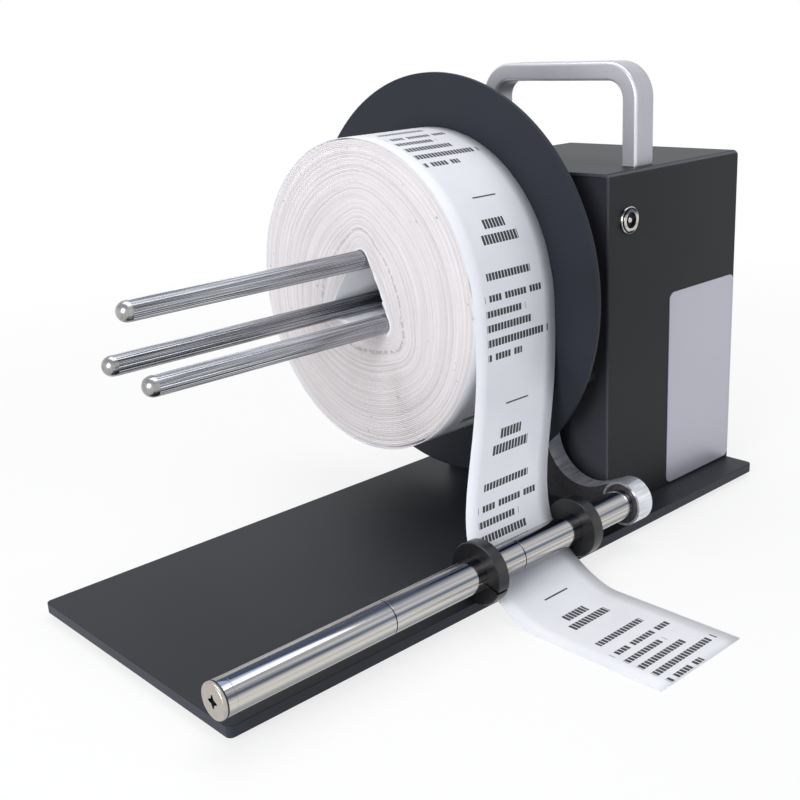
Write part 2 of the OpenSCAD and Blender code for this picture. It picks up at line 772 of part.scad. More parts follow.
module gearbox_screws() color("#4a4b4f")
    at_gearbox_screws() {
        rod_x(1.8 * screw_r, panel_out - 2, panel_out, 0, 0);
        rod_x(screw_r, panel_out, panel_in + gearbox_front_t, 0, 0);
    }

idler_pinion_x = output_gear_x - mesh_overrun;
idler_bore_r = idler_pin_d / 2 + run_fit;
module idler_gear() color("#8f9298")
    union() {
        gear_x(pinion_teeth, spindle_to_idler + 180 + half_tooth, idler_bore_r,
            idler_pinion_x, idler_wheel_x - idler_pinion_x, idler_y, idler_z);
        gear_x(wheel_teeth, idler_to_motor, idler_bore_r, idler_wheel_x, idler_wheel_w, idler_y, idler_z);
    }

module idler_pin() color("#b4b6ba")
    rod_x(idler_pin_d / 2, boss_end - 3, motor_start, idler_y, idler_z);

motor_bush_r = 3.5;
module motor_plate() color("#9b9da2")
    difference() {
        rod_x(gearbox_d / 2, gearbox_end, motor_start, motor_y, spindle_z);
        rod_x(motor_bush_r, gearbox_end - cut, motor_start + cut, motor_y, spindle_z);
        rod_x(idler_pin_d / 2, gearbox_end - cut, motor_start + cut, idler_y, idler_z);
    }

module motor_can() color("#85878c")
    difference() {
        rod_x(motor_d / 2, motor_start, motor_end, motor_y, spindle_z);
        rod_x(motor_d / 2 - motor_wall, motor_start + motor_wall, motor_end + cut, motor_y, spindle_z);
        rod_x(motor_bush_r, motor_start - cut, motor_start + motor_wall + cut, motor_y, spindle_z);
    }

magnet_r = motor_d / 2 - motor_wall;
magnet_t = 2.2;
magnet_inset = 5;
rotor_gap = 0.5;
module motor_magnets() color("#3c3c3e")
    difference() {
        ring_x(magnet_r, magnet_r - magnet_t, motor_start + magnet_inset, motor_end - magnet_inset,
            motor_y, spindle_z);
        translate([motor_start, motor_y - magnet_r / 3, spindle_z - motor_d])
            cube([motor_l, magnet_r * 2 / 3, 2 * motor_d]);
    }

rotor_bore_r = rotor_shaft_d / 2 + run_fit;
module motor_bushes() color("#b08d57") {
    ring_x(motor_bush_r, rotor_bore_r, gearbox_end, motor_start + motor_wall, motor_y, spindle_z);
    ring_x(motor_bush_r, rotor_bore_r, motor_end, motor_end + end_cap_depth, motor_y, spindle_z);
}

terminal_y = 8;
terminal_l = 5;
terminal_w = 3;
terminal_t = 0.6;
module motor_end_cap() color("#e4e2da")
    union() {
        ring_x(motor_d / 2, motor_bush_r, motor_end, motor_end + end_cap_depth, motor_y, spindle_z);
        for (side = [-1, 1])
            translate([motor_end + end_cap_depth, motor_y + side * terminal_y - terminal_w / 2,
                spindle_z - terminal_t / 2]) cube([terminal_l, terminal_w, terminal_t]);
    }

rotor_core_r = magnet_r - magnet_t - rotor_gap;
module rotor_core() color("#a0674b")
    difference() {
        ring_x(rotor_core_r, rotor_shaft_d / 2, motor_start + magnet_inset + 1,
            motor_end - magnet_inset - 1, motor_y, spindle_z);
        for (i = [0:4])
            translate([motor_start, motor_y, spindle_z]) rotate([72 * i, 0, 0])
                translate([0, -1, rotor_core_r - 4]) cube([motor_l, 2, 6]);
    }

pinion_x = idler_wheel_x - mesh_overrun / 2;
pinion_w = idler_wheel_w + mesh_overrun;
module rotor_shaft() color("#b4b6ba")
    rod_x(rotor_shaft_d / 2, pinion_x, motor_end + end_cap_depth, motor_y, spindle_z);

module motor_pinion() color("#c7a75a")
    gear_x(pinion_teeth, idler_to_motor + 180 + half_tooth, rotor_shaft_d / 2,
        pinion_x, pinion_w, motor_y, spindle_z);

// Swing arm: an upright from the pivot, a bend to the front, and the eye for the guide bar
function fan(r, from, to) = [for (i = [0:4]) polar(r, from + i * (to - from) / 4)];

// Where the bend stands clear of the eye, its inner side leaves it straight and touches the eye
module arm_blend() {
    leave = polar(arm_bend_r, leave_angle);
    touch = polar(bend_to_eye, bend_start) + polar(eye_d / 2 - eye_bite, leave_angle + 180);
    outside = fan(3 * arm_bend_r, atan2(touch.y, touch.x), bend_start + 2 * blend_turn);
    if (blend_turn > 0)
        intersection() {
            circle(arm_bend_r + arm_w);
            polygon(concat([leave, touch], outside));
        }
}

module arm_outline()
    difference() {
        union() {
            translate([pivot_y, pivot_z]) circle(d = pivot_boss_d);
            translate([pivot_y - arm_w / 2, bend_z]) square([arm_w, pivot_z - bend_z]);
            translate([bend_y, bend_z]) {
                intersection() {
                    difference() {
                        circle(arm_bend_r + arm_w);
                        circle(arm_bend_r);
                    }
                    polygon(concat([[0, 0]], fan(3 * arm_bend_r, leave_angle, 0)));
                }
                arm_blend();
            }
            translate([bar_y, bar_z]) circle(d = eye_d);
        }
        translate([pivot_y, pivot_z]) circle(pivot_r);
        translate([bar_y, bar_z]) circle(d = guide_shaft_d);
    }

arm_boss_end = bush_front - stop_gap;
module arm_screw_space(length)
    translate([(arm_front + arm_back) / 2, pivot_y - pivot_r - length, pivot_z])
        rotate([-90, 0, 0]) cylinder(r = screw_r, h = length);

module swing_arm() color("#5b5a60")
    difference() {
        union() {
            along_x(arm_front, arm_t) arm_outline();
            ring_x(pivot_r + 4, pivot_r, arm_back, arm_boss_end, pivot_y, pivot_z);
        }
        arm_screw_space(pivot_boss_d);
    }

module arm_set_screw() color("#4a4b4f")
    arm_screw_space(pivot_boss_d / 2 - pivot_r - 0.5);

flag_hub_w = 5;
module arm_pivot_shaft() color("#b4b6ba")
    rod_x(pivot_r, arm_front, flag_x + flag_hub_w + 1, pivot_y, pivot_z);

module pivot_bush() color("#b08d57")
    difference() {
        union() {
            rod_x(pivot_r + 4, bush_front, panel_out, pivot_y, pivot_z);
            rod_x(pivot_r + 2, panel_out, bush_end, pivot_y, pivot_z);
        }
        rod_x(pivot_r + run_fit, bush_front - cut, bush_end + cut, pivot_y, pivot_z);
    }

module arm_circlip() color("#4a4b4f")
    ring_x(pivot_r + 2, pivot_r, bush_end + stop_gap, bush_end + stop_gap + circlip_t, pivot_y, pivot_z);

module arm_flag() color("#d8d8dc")
    difference() {
        union() {
            rod_x(pivot_r + 3, flag_x, flag_x + flag_hub_w, pivot_y, pivot_z);
            translate([flag_x, pivot_y - flag_w / 2, pivot_z - flag_l]) cube([flag_t, flag_w, flag_l]);
        }
        rod_x(pivot_r, flag_x - cut, flag_x + flag_hub_w + cut, pivot_y, pivot_z);
    }

sensor_w = 12;
sensor_h = 14;
sensor_slot = 1;
module arm_sensor() color("#1f2023")
    translate([panel_in, pivot_y - sensor_w / 2, pivot_z - flag_l - 5]) difference() {
        cube([flag_x + flag_t + 5 - panel_in, sensor_w, sensor_h]);
        translate([flag_x - sensor_slot - panel_in, -cut, 3])
            cube([flag_t + 2 * sensor_slot, sensor_w + 2 * cut, sensor_h]);
    }

stop_front = arm_front + 2;
module arm_stops() color("#26272a")
    for (p = stop_places) {
        rod_x(stop_d / 2, stop_front, panel_out, p[0], p[1]);
        rod_x(screw_r, panel_out - cut, panel_in + 2, p[0], p[1]);
    }

// Guide bar
module guide_shaft() color("#b4b6ba")
    rod_x(guide_shaft_d / 2, cap_back - cap_bore, arm_back, bar_y, bar_z);

cross_l = 5;
cross_w = 1.1;
cross_depth = 1.4;
module end_cap() color("#c9c8c6")
    difference() {
        rod_x(sleeve_r, cap_front, cap_back, bar_y, bar_z);
        rod_x(guide_shaft_d / 2, cap_back - cap_bore, cap_back + cut, bar_y, bar_z);
        for (a = [0, 90])
            translate([cap_front, bar_y, bar_z]) rotate([a, 0, 0])
                cube([2 * cross_depth, cross_w, cross_l], center = true);
    }

module guide_sleeve(i) color("#d0d0d2")
    translate([sleeve_ends[i] - sleeve_l, bar_y, bar_z]) rotate([0, 90, 0]) rotate_extrude() {
        bore_r = guide_shaft_d / 2 + run_fit;
        rim_r = sleeve_r - sleeve_chamfer;
        polygon([[bore_r, 0], [rim_r, 0], [sleeve_r, sleeve_chamfer],
            [sleeve_r, sleeve_l - sleeve_chamfer], [rim_r, sleeve_l], [bore_r, sleeve_l]]);
    }
module guide_sleeve_1() guide_sleeve(0);
module guide_sleeve_2() guide_sleeve(1);
module guide_sleeve_3() guide_sleeve(2);

module guide_collar(i, slit_angle) color("#202224")
    translate([collar_mids[i], bar_y, bar_z]) difference() {
        translate([-collar_t / 2, 0, 0]) rotate([0, 90, 0]) rotate_extrude() {
            bore_r = sleeve_r + run_fit;
            rim_r = collar_d / 2 - collar_chamfer;
            polygon([[bore_r, 0], [rim_r, 0], [collar_d / 2, collar_chamfer],
                [collar_d / 2, collar_t - collar_chamfer], [rim_r, collar_t], [bore_r, collar_t]]);
        }
        rotate([slit_angle, 0, 0]) translate([-collar_t, 0, -collar_slit / 2])
            cube([2 * collar_t, collar_d, collar_slit]);
    }
module guide_collar_1() guide_collar(0, 200);
module guide_collar_2() guide_collar(1, 265);

// Control board
module control_board() color("#2e6b45")
    difference() {
        translate([board_mid - board_l / 2, -board_w / 2, board_bottom]) cube([board_l, board_w, board_t]);
        for (p = board_holes)
            translate([p[0], p[1], board_bottom - cut]) cylinder(r = screw_r, h = board_t + 2 * cut);
    }

capacitor_d = 10;
capacitor_h = 16;
capacitor_x = -12.5;
capacitor_y = 12;
connector = [8, 30, 10];
connector_inset = 4;
heat_sink = [6, 16, 20];
module board_parts() color("#2a2b2f")
    translate([board_mid, 0, board_top]) {
        for (side = [-1, 1])
            translate([capacitor_x, side * capacitor_y, 0]) cylinder(d = capacitor_d, h = capacitor_h);
        translate([board_l / 2 - connector_inset - connector[0], -connector[1] / 2, 0]) cube(connector);
        translate([0, -heat_sink[1] / 2, 0]) cube(heat_sink);
    }

standoff_floor = 2;
module board_standoffs() color("#b08d57")
    for (p = board_holes)
        translate([p[0], p[1], plate_top]) difference() {
            cylinder(d = 2 * screw_d, h = standoff_h, $fn = 6);
            translate([0, 0, standoff_floor]) cylinder(r = screw_r, h = standoff_h);
        }

board_screw_reach = 4;
board_screw_head_h = 2;
module board_screws() color("#b9bcc0")
    for (p = board_holes)
        translate([p[0], p[1], board_top]) {
            cylinder(r = 1.8 * screw_r, h = board_screw_head_h);
            translate([0, 0, -board_t - board_screw_reach])
                cylinder(r = screw_r, h = board_t + board_screw_reach + board_screw_head_h / 2);
        }

// Controls on the rear panel
pot_depth = 9;
module speed_control() color("#8b8d92")
    difference() {
        union() {
            rod_x(pot_d / 2, rear_in - pot_depth, rear_in, controls_y, controls_z);
            rod_x(pot_thread_r, rear_in - cut, rear_out + pot_thread_out, controls_y, controls_z);
            rod_x(pot_thread_r + 2.5, rear_out, rear_out + pot_nut_t, controls_y, controls_z, $fn = 6);
        }
        rod_x(pot_shaft_d / 2 + run_fit, rear_in - pot_depth + 3, rear_out + pot_thread_out + cut,
            controls_y, controls_z);
    }

knob_base = rear_out + pot_nut_t + knob_gap;
knob_face = knob_base + knob_h;
knob_hollow = pot_thread_out - pot_nut_t;
module speed_knob() color("#1d1e20")
    difference() {
        union() {
            difference() {
                rod_x(knob_d / 2, knob_base, knob_face, controls_y, controls_z);
                rod_x(pot_thread_r + 1, knob_base - cut, knob_base + knob_hollow, controls_y, controls_z);
                for (i = [0:11])
                    translate([0, controls_y + knob_d / 2 * cos(30 * i + 15),
                        controls_z + knob_d / 2 * sin(30 * i + 15)])
                        rod_x(0.9, knob_base + 3, knob_face + cut, 0, 0);
            }
            rod_x(pot_shaft_d / 2, rear_in - pot_depth + 3 + stop_gap, knob_face - 2,
                controls_y, controls_z);
        }
        translate([knob_face - 0.6, controls_y - 0.5, controls_z + 1]) cube([2, 1, knob_d / 2]);
    }

module switch_block(grow, x0, x1)
    translate([x0, -controls_y - switch_w / 2 - grow, controls_z - switch_l / 2 - grow])
        cube([x1 - x0, switch_w + 2 * grow, switch_l + 2 * grow]);

rocker_x = rear_out - rocker_drop;
rocker_pin_half = switch_w / 2 - 0.4;
module switch_body() color("#18191b")
    difference() {
        union() {
            switch_block(0, rear_in - switch_depth, rear_out);
            switch_block(bezel_lip, rear_out, rear_out + bezel_t);
        }
        switch_block(-switch_wall, rear_out + bezel_t - 9, rear_out + bezel_t + cut);
        translate([rocker_x, -controls_y, controls_z]) rotate([90, 0, 0])
            cylinder(r = rocker_pin_r + run_fit, h = 2 * (rocker_pin_half + run_fit), center = true);
    }

rocker_rise = rocker_drop + bezel_t;
module switch_rocker() color("#232427")
    translate([rocker_x, -controls_y, controls_z]) rotate([90, 0, 0]) union() {
        linear_extrude(2 * rocker_half_w, center = true)
            polygon([[-3, -5], [1.5, -rocker_half_l], [rocker_rise + 2.5, -rocker_half_l],
                [rocker_rise + 0.5, 0], [rocker_rise + 2.5, rocker_half_l], [1.5, rocker_half_l], [-3, 5]]);
        cylinder(r = rocker_pin_r, h = 2 * rocker_pin_half, center = true);
    }

base_plate();
rubber_mat();
base_screws();
clinch_nuts();
housing_cover();
motor_panel();
rear_panel();
carry_handle();
handle_screws();
power_inlet();
inlet_nut();
rating_plate();
flange_disc();
spindle_hub();
hub_set_screw();
rod_1();
rod_2();
rod_3();
rod_screws();
spindle_shaft();
spindle_bearings();
output_gear();
label_roll();
label_web();
label_tail();
gearbox_case();
gearbox_screws();
idler_gear();
idler_pin();
motor_plate();
motor_can();
motor_magnets();
motor_bushes();
motor_end_cap();
rotor_core();
rotor_shaft();
motor_pinion();
swing_arm();
arm_set_screw();
arm_pivot_shaft();
pivot_bush();
arm_circlip();
arm_flag();
arm_sensor();
arm_stops();
guide_shaft();
end_cap();
guide_sleeve_1();
guide_sleeve_2();
guide_sleeve_3();
guide_collar_1();
guide_collar_2();
control_board();
board_parts();
board_standoffs();
board_screws();
speed_control();
speed_knob();
switch_body();
switch_rocker();
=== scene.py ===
# %% [markdown]
# Dressing a label rewinder
# The solids of the rewinder arrive packed, as a fixed frame in metres: X runs along the base
# plate towards the motor housing, Y to the back and Z up, with the origin on the table. This
# lesson adds what the solids lack: round edges, fine ribs, a wound ribbon and real finishes.

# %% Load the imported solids
import json
import math

import bmesh
import bpy
from mathutils import Matrix, Vector


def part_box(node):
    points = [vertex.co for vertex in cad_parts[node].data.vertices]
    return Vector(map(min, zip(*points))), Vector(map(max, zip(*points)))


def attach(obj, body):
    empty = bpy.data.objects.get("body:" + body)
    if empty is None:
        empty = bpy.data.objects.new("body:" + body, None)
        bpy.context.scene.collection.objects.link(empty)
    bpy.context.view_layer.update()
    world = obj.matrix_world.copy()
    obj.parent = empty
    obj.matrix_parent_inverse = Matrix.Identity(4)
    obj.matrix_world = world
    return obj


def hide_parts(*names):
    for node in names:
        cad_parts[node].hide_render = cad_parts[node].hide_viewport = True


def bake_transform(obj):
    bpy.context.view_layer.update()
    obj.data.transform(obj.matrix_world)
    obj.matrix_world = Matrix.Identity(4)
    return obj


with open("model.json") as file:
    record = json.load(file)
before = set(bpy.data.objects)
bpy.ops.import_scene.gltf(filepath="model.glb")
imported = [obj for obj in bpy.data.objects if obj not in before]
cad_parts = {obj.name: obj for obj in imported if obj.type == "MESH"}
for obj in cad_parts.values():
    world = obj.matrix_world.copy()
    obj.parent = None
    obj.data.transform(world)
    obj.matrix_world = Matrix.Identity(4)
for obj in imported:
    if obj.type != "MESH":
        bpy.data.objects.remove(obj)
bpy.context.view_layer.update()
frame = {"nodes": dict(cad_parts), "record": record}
nodes = frame["nodes"]
MM = 0.001
UM = 0.000001

# %% [markdown]
# The camera
# A camera could be aimed with a constraint, but a constraint hides the numbers. Here the three
# directions of the view are worked out from a heading, a tilt and a small lean, and they become
# the columns of the camera's matrix. The lens stays unshifted, so other views stay centred.

# %% Camera
HEADING = math.radians(41.575)
TILT = math.radians(17.809)
LEAN = math.radians(-3.071)
CAMERA_AT = (-288.94, -309.41, 194.84)
LENS = 52.137
SENSOR = 36
flat = math.cos(TILT)
forward = Vector((math.sin(HEADING) * flat, math.cos(HEADING) * flat, -math.sin(TILT)))
level = Vector((math.cos(HEADING), -math.sin(HEADING), 0))
upright = level.cross(forward)
right = level * math.cos(LEAN) + upright * math.sin(LEAN)
up = upright * math.cos(LEAN) - level * math.sin(LEAN)
camera = bpy.data.objects.new("camera", bpy.data.cameras.new("camera"))
camera.matrix_world = Matrix((right, up, -forward)).transposed().to_4x4()
camera.location = Vector(CAMERA_AT) * MM
camera.data.lens = LENS
camera.data.sensor_width = SENSOR
camera.data.clip_start = 0.01
bpy.context.scene.collection.objects.link(camera)
bpy.context.scene.camera = camera
bpy.context.scene.view_settings.view_transform = "Standard"
print("camera at", [round(c, 3) for c in camera.location])

# %% [markdown]
# Nodes in a few words
# Every finish is a small graph of shader nodes, and wiring each node by hand would bury the idea
# under links. A few helpers keep the graphs readable: some reckon with sockets and numbers, some
# lay a grain or a tint, and one starts a finish with its plain numbers set on the shader itself,
# which is where the export looks for them.

# %% Helpers that reckon with sockets
def feed(tree, value, socket):
    if isinstance(value, (int, float)):
        socket.default_value = value
    elif isinstance(value, tuple):
        socket.default_value = (*value, 1)
    else:
        tree.links.new(value, socket)


def reckon(tree, operation, first, second=None):
    made = tree.nodes.new("ShaderNodeMath")
    made.operation = operation
    feed(tree, first, made.inputs[0])
    if second is not None:
        feed(tree, second, made.inputs[1])
    return made.outputs[0]


def parts_of(tree, vector):
    split = tree.nodes.new("ShaderNodeSeparateXYZ")
    tree.links.new(vector, split.inputs[0])
    return split.outputs


def length_of(tree, vector):
    made = tree.nodes.new("ShaderNodeVectorMath")
    made.operation = "LENGTH"
    tree.links.new(vector, made.inputs[0])
    return made.outputs["Value"]


def level_between(tree, factor, low, high, start=0, end=1):
    spread = tree.nodes.new("ShaderNodeMapRange")
    limits = {"From Min": start, "From Max": end, "To Min": low, "To Max": high}
    for name, value in limits.items():
        spread.inputs[name].default_value = value
    tree.links.new(factor, spread.inputs["Value"])
    return spread.outputs["Result"]


# %% Helpers for grain, colour and relief
def start_finish(name, colour, metal, rough):
    finish = bpy.data.materials.new(name)
    finish.use_nodes = True
    tree = finish.node_tree
    shader = tree.nodes["Principled BSDF"]
    shader.inputs["Base Color"].default_value = (*colour, 1)
    shader.inputs["Metallic"].default_value = metal
    shader.inputs["Roughness"].default_value = rough
    place = tree.nodes.new("ShaderNodeTexCoord").outputs["Object"]
    return finish, tree, shader, place


def mapped(tree, place, stretch, shift=(0, 0, 0)):
    mapping = tree.nodes.new("ShaderNodeMapping")
    mapping.inputs["Location"].default_value = shift
    mapping.inputs["Scale"].default_value = stretch
    tree.links.new(place, mapping.inputs["Vector"])
    return mapping.outputs["Vector"]


def grain(tree, place, scale, detail=3.0, stretch=(1, 1, 1)):
    noise = tree.nodes.new("ShaderNodeTexNoise")
    noise.inputs["Scale"].default_value = scale
    noise.inputs["Detail"].default_value = detail
    tree.links.new(mapped(tree, place, stretch), noise.inputs["Vector"])
    return noise.outputs["Fac"]


def tint(tree, factor, dark, light, low=0.35, high=0.65):
    ramp = tree.nodes.new("ShaderNodeValToRGB")
    for stop, position, colour in zip(ramp.color_ramp.elements, (low, high), (dark, light)):
        stop.position = position
        stop.color = (*colour, 1)
    tree.links.new(factor, ramp.inputs["Fac"])
    return ramp.outputs["Color"]


def laid_over(tree, factor, under, over):
    mix = tree.nodes.new("ShaderNodeMix")
    mix.data_type = "RGBA"
    feed(tree, factor, mix.inputs["Factor"])
    feed(tree, under, mix.inputs["A"])
    feed(tree, over, mix.inputs["B"])
    return mix.outputs["Result"]


def emboss(tree, shader, height, strength, depth):
    bump = tree.nodes.new("ShaderNodeBump")
    bump.inputs["Strength"].default_value = strength
    bump.inputs["Distance"].default_value = depth
    tree.links.new(height, bump.inputs["Height"])
    tree.links.new(bump.outputs["Normal"], shader.inputs["Normal"])


# %% [markdown]
# Floor, backdrop and light
# The machine stands on a pale table in soft light. A lit white floor could be pushed until it
# clips, but then the machine would be overlit too. Instead the floor shows the camera a mix of its
# lit self and plain white, and the world is white for the camera and for mirrors only. High up, the
# backdrop dims to a blue grey, as a studio ceiling does, so that round metal shows light and dark.
# The front of the room is dimmer and bluer than the back, so the walls of the housing differ in tone.

# %% World
BACK_WALL = (0.98, 0.98, 1.0)
FRONT_WALL = (0.62, 0.70, 0.90)
CEILING = (0.56, 0.61, 0.70)
ROOM_LIGHT = 0.38


def seen_by(tree, *kinds):
    rays = tree.nodes.new("ShaderNodeLightPath")
    seen = rays.outputs[kinds[0]]
    for kind in kinds[1:]:
        seen = reckon(tree, "MAXIMUM", seen, rays.outputs[kind])
    return seen


def show_plain(tree, seen, lit, plain, output):
    mix = tree.nodes.new("ShaderNodeMixShader")
    tree.links.new(seen, mix.inputs["Fac"])
    tree.links.new(lit.outputs[0], mix.inputs[1])
    tree.links.new(plain.outputs[0], mix.inputs[2])
    tree.links.new(mix.outputs[0], tree.nodes[output].inputs["Surface"])


def white_world():
    world = bpy.data.worlds.new("studio")
    bpy.context.scene.world = world
    world.use_nodes = True
    tree = world.node_tree
    aim = parts_of(tree, tree.nodes.new("ShaderNodeTexCoord").outputs["Generated"])
    soft = tree.nodes["Background"]
    soft.inputs["Strength"].default_value = ROOM_LIGHT
    frontward = reckon(tree, "MULTIPLY", aim["Y"], -1)
    walls = tint(tree, frontward, BACK_WALL, FRONT_WALL, low=0, high=0.9)
    tree.links.new(walls, soft.inputs["Color"])
    plain = tree.nodes.new("ShaderNodeBackground")
    backdrop = tint(tree, aim["Z"], (1, 1, 1), CEILING, low=0.35, high=0.85)
    tree.links.new(backdrop, plain.inputs["Color"])
    seen = seen_by(tree, "Is Camera Ray", "Is Glossy Ray", "Is Transmission Ray")
    show_plain(tree, seen, soft, plain, "World Output")


white_world()
print("world:", bpy.context.scene.world.name)

# %% Table
TABLE_HALF = 6
TABLE_DROP = 0.2 * MM
SHADOW_KEPT = 0.78
SHADOW_FADE = (0.2, 0.6)


def pale_floor():
    finish, tree, shader, place = start_finish("table_white", (0.9, 0.9, 0.9), 0, 0.6)
    mottle = tint(tree, grain(tree, place, 6), (0.89, 0.89, 0.89), (0.91, 0.91, 0.91))
    tree.links.new(mottle, shader.inputs["Base Color"])
    glow = tree.nodes.new("ShaderNodeEmission")
    start, end = SHADOW_FADE
    fade = level_between(tree, length_of(tree, place), SHADOW_KEPT, 1.0, start, end)
    seen = seen_by(tree, "Is Camera Ray", "Is Glossy Ray")
    show_plain(tree, reckon(tree, "MULTIPLY", seen, fade), shader, glow, "Material Output")
    bm = bmesh.new()
    bmesh.ops.create_grid(bm, x_segments=1, y_segments=1, size=TABLE_HALF)
    bmesh.ops.translate(bm, verts=bm.verts, vec=(0, 0, -TABLE_DROP))
    mesh = bpy.data.meshes.new("table")
    bm.to_mesh(mesh)
    bm.free()
    mesh.materials.append(finish)
    floor = bpy.data.objects.new("table", mesh)
    bpy.context.scene.collection.objects.link(floor)


pale_floor()
print("table ready")

# %% Lamps
def soft_lamp(name, place, target, size, power, colour):
    lamp = bpy.data.objects.new(name, bpy.data.lights.new(name, "AREA"))
    lamp.data.color = colour
    lamp.data.shape = "RECTANGLE"
    lamp.data.size, lamp.data.size_y = size
    lamp.data.energy = power
    lamp.location = place
    lamp.rotation_euler = (Vector(target) - Vector(place)).to_track_quat("-Z", "Y").to_euler()
    bpy.context.scene.collection.objects.link(lamp)
    print("lamp", name, "of", power, "W")


soft_lamp("overhead", (0.15, 0.05, 1.1), target=(0, 0, 0.05), size=(1.3, 0.6), power=7, colour=(1, 1, 1))
soft_lamp("left_front", (-1.0, -0.32, 0.46), target=(0, 0, 0.09), size=(0.5, 0.6), power=8,
          colour=(0.95, 0.97, 1.0))
soft_lamp("right_front", (0.7, -0.9, 0.4), target=(0, 0, 0.06), size=(0.4, 0.7), power=0.4,
          colour=(1.0, 0.97, 0.93))

# %% [markdown]
# Charcoal powder paint
# The plate, the housing and the disc carry a satin powder coat. Sprayed powder melts into a very
# fine orange peel, so the colour barely changes and the gloss is broken up. A fine noise gives
# the peel its height, and a broad one a slight drift in colour and gloss. The disc is a shade bluer,
# the cover a shade darker and the two end panels glossier. Three paints hold painted light: a
# lighter, bluer one for the plate's sides, a lighter one for the end panels, and a lighter, glossier
# painted highlight along the cover's folds and cut ends.

# %% Powder paint
def powder_paint(name, dark, light, rough, shine=0.16):
    finish, tree, shader, place = start_finish(name, dark, 0, rough)
    drift = grain(tree, place, scale=14, detail=2)
    peel = grain(tree, place, scale=1500, detail=2)
    tree.links.new(tint(tree, drift, dark, light), shader.inputs["Base Color"])
    gloss = reckon(tree, "ADD", level_between(tree, drift, -0.04, 0.04),
                   level_between(tree, peel, rough - 0.06, rough + 0.06))
    tree.links.new(gloss, shader.inputs["Roughness"])
    emboss(tree, shader, peel, strength=0.25, depth=60 * UM)
    shader.inputs["Specular IOR Level"].default_value = shine
    return finish


paint = powder_paint("charcoal_paint", (0.021, 0.023, 0.027), (0.027, 0.029, 0.034), 0.46)
disc_paint = powder_paint("disc_paint", (0.021, 0.023, 0.031), (0.026, 0.029, 0.039), 0.44)
cover_paint = powder_paint("cover_paint", (0.017, 0.0195, 0.021), (0.022, 0.025, 0.027), 0.46, shine=0.13)
# Lighter, bluer copy of the plate paint: painted light on the plate's upright sides.
plate_side_painted_light = powder_paint("plate_side_painted_light", (0.030, 0.033, 0.043), (0.036, 0.039, 0.051), 0.44)
# Lighter, glossier paint: a painted highlight for the cover's folds and cut ends.
cover_edge_painted_highlight = powder_paint("cover_edge_painted_highlight", (0.058, 0.060, 0.076), (0.072, 0.074, 0.092), 0.38, shine=0.3)
# End panel paint, lighter than the cover's: painted light, and glossier.
panel_painted_light = powder_paint("panel_painted_light", (0.030, 0.030, 0.036), (0.037, 0.037, 0.044), 0.40, shine=0.4)
coats = (paint, disc_paint, cover_paint, plate_side_painted_light, cover_edge_painted_highlight, panel_painted_light)
print("paints:", [coat.name for coat in coats])

# %% [markdown]
# Metals
# The metals on the machine differ less in colour than in how they were worked: mirror chrome on the
# bar, ground steel on shafts, drawn steel on the ribbed rods, brushed aluminium on the handle and
# plated screws. What tells them apart is the direction and depth of their tool marks, so each gets
# a noise that is stretched the way the tool went. On the chrome that noise runs from a dark blue to
# a warm light in long streaks along the bar: polish marks, and a painted reflection.

# %% Metals
def machined(name, dark, light, rough, stretch, depth, low=0.3, high=0.7, metal=1):
    finish, tree, shader, place = start_finish(name, light, metal, rough)
    marks_and_painted_streaks = grain(tree, place, scale=1, detail=4, stretch=stretch)
    smudge = grain(tree, place, scale=60, detail=3)
    tree.links.new(tint(tree, marks_and_painted_streaks, dark, light, low, high), shader.inputs["Base Color"])
    gloss = reckon(tree, "ADD", level_between(tree, smudge, -0.04, 0.05),
                   level_between(tree, marks_and_painted_streaks, rough - 0.05, rough + 0.07))
    tree.links.new(gloss, shader.inputs["Roughness"])
    emboss(tree, shader, marks_and_painted_streaks, strength=0.3, depth=depth)
    return finish


POLISH_AND_PAINTED_STREAKS = (1.2, 420, 420)
TURNED = (3000, 60, 60)
DRAWN = (25, 3500, 3500)
BRUSHED = (1500, 25, 25)
BLASTED = (900, 900, 900)
PLATED = (700, 700, 700)
# Chrome: its long dark blue and warm colour streaks along the bar are painted reflection.
chrome = machined("bright_chrome", (0.095, 0.112, 0.152), (0.59, 0.565, 0.52), 0.08, POLISH_AND_PAINTED_STREAKS,
                  2 * UM, low=0.41, high=0.59)
nickel = machined("warm_nickel", (0.42, 0.395, 0.35), (0.52, 0.49, 0.44), 0.34, BLASTED, 4 * UM)
# Darker nickel for the walls of the cap's cross: painted shade in the recess.
recess_nickel_painted_shade = machined("recess_nickel_painted_shade", (0.10, 0.094, 0.085), (0.15, 0.14, 0.125), 0.4, BLASTED, 4 * UM)
ground_steel = machined("ground_steel", (0.42, 0.43, 0.45), (0.58, 0.59, 0.61), 0.28, TURNED, 4 * UM)
rod_steel = machined("rod_steel", (0.17, 0.17, 0.185), (0.58, 0.59, 0.63), 0.20, DRAWN,
                     6 * UM, low=0.36, high=0.64)
nose_steel = machined("rod_nose_steel", (0.28, 0.275, 0.27), (0.46, 0.455, 0.45), 0.26, TURNED, 3 * UM)
zinc_steel = machined("zinc_steel", (0.44, 0.45, 0.47), (0.58, 0.59, 0.61), 0.35, PLATED, 5 * UM)
dark_steel = machined("dark_steel", (0.03, 0.03, 0.032), (0.06, 0.06, 0.064), 0.42, BLASTED, 5 * UM)
anodised = machined("handle_aluminium", (0.465, 0.462, 0.495), (0.52, 0.517, 0.55), 0.34, BRUSHED,
                    5 * UM, metal=0.25)
